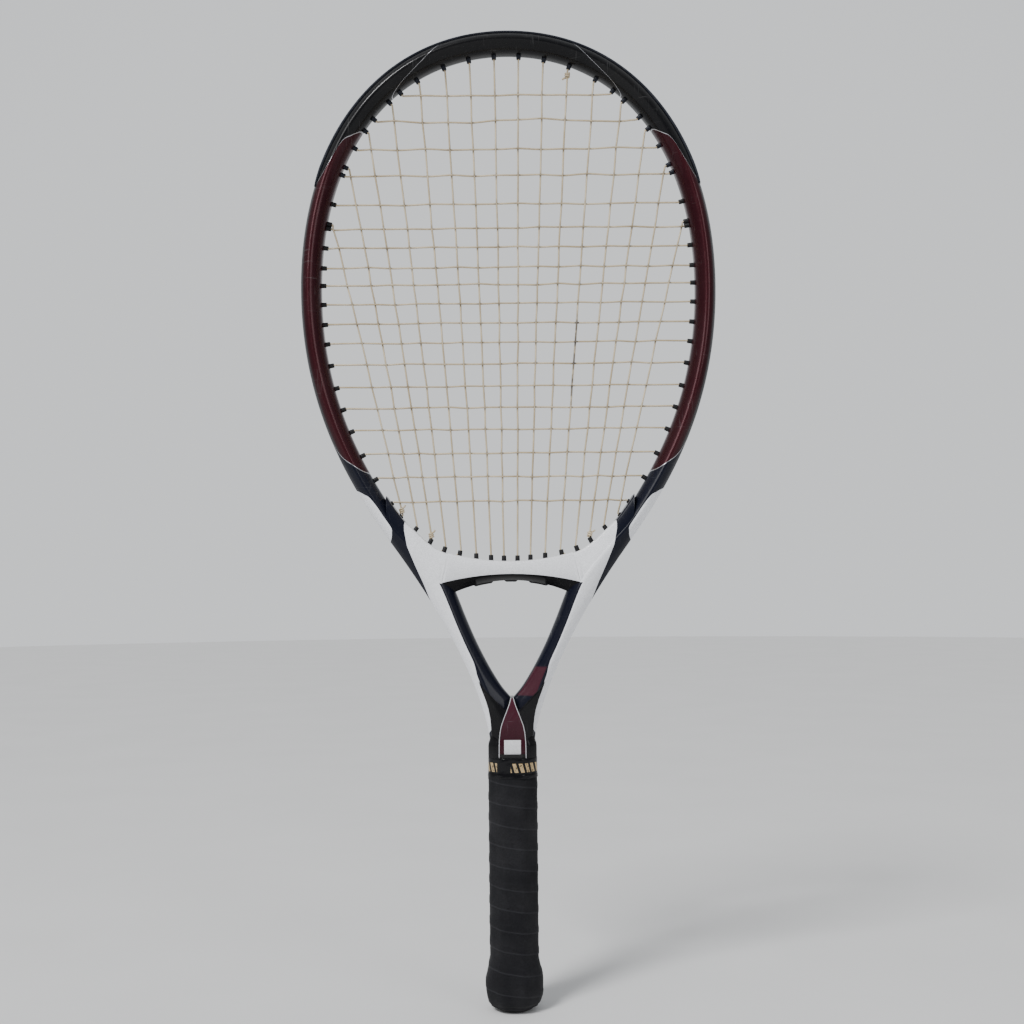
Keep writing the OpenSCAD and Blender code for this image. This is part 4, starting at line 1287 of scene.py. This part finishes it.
def run_through(low, middle, high):
    """A string's run from one hole's mouth to another's, over and under what it crosses."""
    inner = woven([inside_of(low)] + middle + [inside_of(high)])
    return [outside_of(low)] + inner + [outside_of(high)]


def main_string(places):
    """The mains' path: up and down, with loops round the top and round the throat."""
    runs, loops = [], []
    for m in range(MAINS):
        low, high = main_hole(m, RIGHT_LOW), main_hole(m, RIGHT_TOP)
        middle = [places[m, j] for j in reversed(range(CROSSES)) if (m, j) in places]
        run = run_through(low, middle, high)
        runs.append(run if m % 2 == 0 else run[::-1])
        if m == MAINS - 1:
            continue
        if m % 2 == 0:
            loops.append(groove_loop(high[2], main_hole(m + 1, RIGHT_TOP)[2], LOOP_Y))
        elif side_index(m) < BRIDGE_MAINS and side_index(m + 1) < BRIDGE_MAINS:
            loops.append(throat_loop(low[0].x, main_hole(m + 1, RIGHT_LOW)[0].x))
        else:
            loops.append(groove_loop(low[2], main_hole(m + 1, RIGHT_LOW)[2], LOOP_Y))
    tail = groove_tail(RIGHT_LOW[-1][2], RIGHT_LOW[MAIN_TIE][2], (0.9, 0.7, 0.5, 0.3, 0.15))
    return joined([mirror_x(p) for p in tail], runs, loops, tail[::-1])


def cross_string(places):
    """The crosses' path: side to side from the top down, on the other side of every main."""
    runs, loops = [], []
    for j in range(CROSSES):
        right, left = RIGHT_CROSS[j], on_left(RIGHT_CROSS[j])
        middle = [places[m, j] for m in range(MAINS) if (m, j) in places]
        run = run_through(left, [Vector((p.x, -p.y, p.z)) for p in middle], right)
        runs.append(run[::-1] if j % 2 == 0 else run)
        if j < CROSSES - 1:
            s = -1 if j % 2 == 0 else 1
            loops.append(groove_loop(s * right[2], s * RIGHT_CROSS[j + 1][2], -LOOP_Y))
    first = groove_tail(RIGHT_CROSS[0][2], RIGHT_TOP[CROSS_START_TIE][2], (0.9, 0.6, 0.4, 0.15))
    last = groove_tail(-RIGHT_CROSS[-1][2], 0.02 - RIGHT_LOW[CROSS_END_TIE][2], (0.15, 0.5, 0.9))
    return joined(first, runs, loops, last)


def joined(start, runs, loops, end):
    """One path out of a tail, the runs with a loop after each, and the other tail."""
    around = [start] + loops + [end]
    path = []
    for i, run in enumerate(runs):
        path += around[i] + with_turns(around[i], run, around[i + 1])
    return path + end


def cord_mesh(name, paths, thickness):
    """A round string along each path, as one mesh with closed ends."""
    curve = bpy.data.curves.new(name + "_path", "CURVE")
    curve.dimensions = "3D"
    curve.bevel_depth = thickness / 2 * MM
    curve.bevel_resolution = 2
    curve.use_fill_caps = True
    for path in paths:
        spline = curve.splines.new("POLY")
        spline.points.add(len(path) - 1)
        for point, place in zip(spline.points, path):
            point.co = (*(place * MM), 1.0)
    holder = bpy.data.objects.new(name + "_path", curve)
    bpy.context.scene.collection.objects.link(holder)
    bpy.context.view_layer.update()
    mesh = bpy.data.meshes.new_from_object(holder)
    bpy.data.objects.remove(holder)
    mesh.name = name
    return mesh


def mark_near_crossings(mesh, places):
    """Marks the string near each crossing, where the finish darkens it."""
    tree = KDTree(len(places))
    for i, place in enumerate(places.values()):
        tree.insert((place.x * MM, 0.0, place.z * MM), i)
    tree.balance()
    layer = mesh.attributes.new("grime", "FLOAT", "POINT")
    for i, vert in enumerate(mesh.vertices):
        _, _, distance = tree.find((vert.co.x, 0.0, vert.co.z))
        layer.data[i].value = 1 - eased(distance, 0.0008, 0.0024)


def knot_path(hole, towards, face, turns=2.4):
    """A string's tail wound round the string that anchors it, and its cut end."""
    base = inside_of(hole)
    axis = (towards - base).normalized()
    side = axis.cross(Vector((0, 1, 0))).normalized()
    front = side.cross(axis)
    r = STRING_D + 0.08
    path = []
    for k in range(int(turns * 14) + 1):
        a = 2 * math.pi * k / 14 * face
        place = base + axis * (1.5 + k / 14 * (STRING_D + 0.05))
        path.append(place + side * (r * math.cos(a)) + front * (r * math.sin(a)))
    run = (path[-1] - path[-2]).normalized()
    for _ in range(4):
        run = (run + axis * 0.2).normalized()
        path.append(path[-1] + run * 0.8)
    return path


def build_strings():
    """Both strings, and the knots that tie them off."""
    places = crossings()
    for name, path, node in (
        ("main_string_bed", main_string(places), "main_string"),
        ("cross_string_bed", cross_string(places), "cross_string"),
    ):
        mesh = cord_mesh(name, [path], STRING_D)
        mark_near_crossings(mesh, places)
        finish_mesh(name, mesh, [STRING], [node], sharp=60)
    anchors = [
        (SIDE_MAINS + MAIN_TIE, RIGHT_LOW, 1), (SIDE_MAINS - 1 - MAIN_TIE, RIGHT_LOW, -1),
        (SIDE_MAINS + CROSS_START_TIE, RIGHT_TOP, 1), (SIDE_MAINS - 1 - CROSS_END_TIE, RIGHT_LOW, -1),
    ]
    paths = []
    for m, holes, face in anchors:
        far = RIGHT_LOW if holes is RIGHT_TOP else RIGHT_TOP
        paths.append(knot_path(main_hole(m, holes), inside_of(main_hole(m, far)), face))
    mesh = cord_mesh("string_knots", paths, STRING_D)
    # no crossing is near the knots, so they are not darkened
    mark_near_crossings(mesh, {0: Vector((0, 0, 0))})
    finish_mesh("string_knots", mesh, [STRING], ["tie_off_knots"], sharp=60)


# ---------------------------------------------------------------- handle

CAP_PROFILE = [
    (0, -3.5), (2.5, -0.8), (5, 0.25 * FLARE), (9, 0.7 * FLARE), (14, 0.94 * FLARE), (22, FLARE),
    (29, 0.48 * FLARE), (36, 0),
]
# The points round each ring of the handle's pieces, and the first point's angle
ROUND = 96
FIRST_TURN = 0.01


def cap_offset(z):
    """How far the cap's outside stands out of the pallet's at a height."""
    return sum(lookup(z + d, CAP_PROFILE) for d in (-1, 0, 1)) / 3


def handle_ring(offset, z, reach):
    """The handle's eight-sided outline, moved out by the offset."""
    grow = (2 - math.sqrt(2)) * offset
    return octagon(PALLET[0] / 2 + offset, PALLET[1] / 2 + offset, PALLET[2] + grow, z, reach, 4)


def even_ring(offset, z, reach=4.0):
    """The handle's outline resampled at even angles: each point with its angle."""
    points = handle_ring(offset, z, reach)
    made = []
    for k in range(ROUND):
        a = FIRST_TURN + 2 * math.pi * k / ROUND
        d = Vector((math.cos(a), math.sin(a)))
        for p, q in zip(points, points[1:] + points[:1]):
            e = q.xy - p.xy
            cross = d.x * e.y - d.y * e.x
            if abs(cross) < 1e-9:
                continue
            s = (p.x * e.y - p.y * e.x) / cross
            f = (p.x * d.y - p.y * d.x) / cross
            if s > 0 and -1e-6 <= f <= 1 + 1e-6:
                made.append((d * s, a))
                break
    return made


def flat_ring(offset, z, reach=4.0):
    return [Vector((p.x, p.y, z)) for p, _ in even_ring(offset, z, reach)]


def circle(r, z):
    turns = [FIRST_TURN + 2 * math.pi * k / ROUND for k in range(ROUND)]
    return [Vector((r * math.cos(a), r * math.sin(a), z)) for a in turns]


def build_overgrip():
    """The overgrip's strip in its overlapping spiral, over the flare and the eight flats."""
    bm = bmesh.new()
    pitch, overlap = 14.5, 4.0
    draw = random.Random(5)
    drift = [draw.uniform(-0.6, 0.6) for _ in range(16)]
    rings, edges = [], []
    low, high, rows = 3.2, OVERGRIP_Z, 300
    for i in range(rows + 1):
        z = low + (high - low) * i / rows
        close = eased(z, low, low + 3.0)
        base = GRIP_UNDER + 0.05 + cap_offset(max(z, 5.0)) - (1 - close) * 1.4
        ring, mark = [], []
        for p, a in even_ring(base, z):
            turn = (z + pitch * (a / (2 * math.pi) + 0.35)) / pitch
            wobble = drift[int(turn) % 16] * math.sin(a * 2 + int(turn))
            up = (turn - math.floor(turn)) * pitch + wobble * 0.4
            step = eased(up, 0.0, 0.45) * (1 - 0.85 * eased(up, overlap, overlap + 2.0))
            thick = 0.10 + 0.36 * step + 0.04 * eased(up, 9.0, 14.0)
            out = p * (1 + thick / p.length)
            ring.append(Vector((out.x, out.y, z)))
            # where each lap's edge steps up, marked for the painted highlight in the overgrip's finish
            mark.append(math.exp(-((up - 0.55) / 0.35) ** 2))
        rings.append(ring)
        edges.append(mark)
    for k in range(25):
        z = high + (low + 0.2 - high) * k / 24
        offset = GRIP_UNDER + 0.02 + cap_offset(max(z, 5.0)) - (1.5 if z < 5 else 0.0)
        rings.append(flat_ring(offset, z))
        edges.append([0.0] * ROUND)
    skin(bm, rings, {"edge": edges}, hollow=True)
    return finish_piece("overgrip_wrap", bm, [OVERGRIP], ["overgrip"], sharp=80)


def build_base_grip():
    """The base grip's leather sleeve, grooved where its strip's edges meet."""
    bm = bmesh.new()
    low, high, rows = 5.0, OVERGRIP_Z + 3.0, 160
    rings = []
    for i in range(rows + 1):
        z = low + (high - low) * i / rows
        ring = []
        for p, a in even_ring(GRIP_UNDER + cap_offset(z), z):
            up = (z / 22.0 + a / (2 * math.pi)) % 1.0
            out = p * (1 - 0.35 * math.exp(-((up - 0.5) / 0.03) ** 2) / p.length)
            ring.append(Vector((out.x, out.y, z)))
        rings.append(ring)
    for k in range(17):
        z = high + (low - high) * k / 16
        rings.append(flat_ring(0.05 + cap_offset(z), z, 1.0))
    skin(bm, rings, hollow=True)
    return finish_piece("base_grip_sleeve", bm, [UNDER_GRIP], ["base_grip"], sharp=60)


def build_tape():
    """Two laps of glossy tape round the top of the grips, drawn in at the upper edge."""
    bm = bmesh.new()
    rings, turns = [], []
    stack = [
        (0.62, OVERGRIP_Z - 1.6), (0.66, OVERGRIP_Z - 1.2), (0.55, OVERGRIP_Z + 0.6),
        (0.34, OVERGRIP_Z + 2.0), (0.30, 170.5), (0.27, 174.0), (0.24, TAPE_TOP_Z - 0.6),
        (0.05, TAPE_TOP_Z + 0.2), (-0.6, TAPE_TOP_Z + 0.5),
    ]
    for k in range(4 * (len(stack) - 1) + 1):
        offset, z = smooth_at(stack, k / 4)
        ring = []
        for p, a in even_ring(GRIP_UNDER + offset, z, 3.4):
            wrinkle = 0.05 * math.sin(5 * a + z * 0.9) + 0.04 * math.sin(11 * a - z * 1.7)
            lap = 0.12 * eased(a, 5.4, 5.46)
            out = p * (1 + (wrinkle * 0.6 + lap) / p.length)
            ring.append(Vector((out.x, out.y, z + 0.25 * math.sin(a * 2 + 0.6))))
        rings.append(ring)
        turns.append([FIRST_TURN + 2 * math.pi * i / ROUND for i in range(ROUND)])
    skin(bm, rings, {"around": turns})
    return finish_piece("finishing_tape_wrap", bm, [TAPE], ["finishing_tape"], sharp=50)


def build_cap():
    """The butt cap's flared outside, its flat end and the stepped recess for the trap door."""
    bm = bmesh.new()
    door, plug = DOOR_D / 2 + DOOR_GAP, PLUG_D / 2 + DOOR_GAP
    # from inside the grip down to the flat end, then up the recess
    outside = [(cap_offset(z) - 0.05, z) for z in (30.0, 24.0, 18.0, 13.0, 9.0, 6.5, 5.0)]
    outside += [(-0.2, 3.4), (-0.9, 2.4), (-1.8, 1.4), (-2.8, 0.5), (-3.5, 0.08), (-3.9, 0.0)]
    recess = [
        (door + 0.35, 0.02), (door + 0.08, 0.12), (door, 0.4), (door, DOOR_T + 0.2),
        (plug + 0.1, DOOR_T + 0.24), (plug, DOOR_T + 0.35), (plug, FLOOR_Z),
    ]
    rings = [flat_ring(offset, z, 3.6) for offset, z in outside] + [circle(r, z) for r, z in recess]
    skin(bm, rings)
    return finish_piece("butt_cap_shell", bm, [CAP], ["butt_cap"], sharp=40)


def build_door():
    """The round trap door: a dished flange, its hollow plug and two holes for a tool."""
    bm = bmesh.new()
    flange, plug, top = DOOR_D / 2, PLUG_D / 2, DOOR_T + PLUG_H
    profile = [
        (0.0, 0.55), (3.4, 0.55), (3.9, 0.45), (4.1, 0.2), (4.4, 0.1), (8.4, 0.0), (flange - 0.5, 0.0),
        (flange - 0.12, 0.12), (flange, 0.5), (flange, DOOR_T - 0.2), (flange - 0.2, DOOR_T),
        (plug, DOOR_T), (plug, top - 2.6), (plug + 0.15, top - 2.0), (plug + 0.12, top - 1.4),
        (plug - 0.3, top), (plug - PLUG_WALL, top), (plug - PLUG_WALL, DOOR_T), (0.0, DOOR_T),
    ]
    spin_round(bm, [(r, 0, z) for r, z in profile], (0, 0, 0), (0, 0, 1), 64)
    bmesh.ops.remove_doubles(bm, verts=bm.verts, dist=0.001)
    obj = finish_piece("trap_door_disc", bm, [DOOR], ["trap_door"], body="door", sharp=35)
    for side in (-1, 1):
        bm = bmesh.new()
        place = Matrix.Translation((side * DOOR_D * 0.36, 0, 0))
        r = TOOL_HOLE_D / 2
        bmesh.ops.create_cone(
            bm, cap_ends=True, segments=24, radius1=r, radius2=r, depth=2 * TOOL_HOLE_DEEP, matrix=place,
        )
        bmesh.ops.scale(bm, vec=(MM, MM, MM), verts=bm.verts)
        mesh = bpy.data.meshes.new("tool_hole")
        bm.to_mesh(mesh)
        bm.free()
        cutter = bpy.data.objects.new("tool_hole", mesh)
        bpy.context.scene.collection.objects.link(cutter)
        cut = obj.modifiers.new("tool_hole", "BOOLEAN")
        cut.object = cutter
        cut.operation = "DIFFERENCE"
        cut.solver = "EXACT"
        bpy.context.view_layer.update()
        made = bpy.data.meshes.new_from_object(obj.evaluated_get(bpy.context.evaluated_depsgraph_get()))
        obj.modifiers.clear()
        obj.data = made
        bpy.data.objects.remove(cutter)
    return obj


build_frame()
build_bridge()
build_bumper()
build_side_strip(-1, "left_strip", "left_grommet_strip")
build_side_strip(1, "right_strip", "right_grommet_strip")
build_throat_strip()
build_strings()
build_base_grip()
build_overgrip()
build_tape()
build_cap()
build_door()

for node, material in (
    ("handle_pallet", FOAM), ("butt_cap_staples", STEEL), ("grip_staple", STEEL),
):
    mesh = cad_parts[node].data
    mesh.materials.clear()
    mesh.materials.append(material)
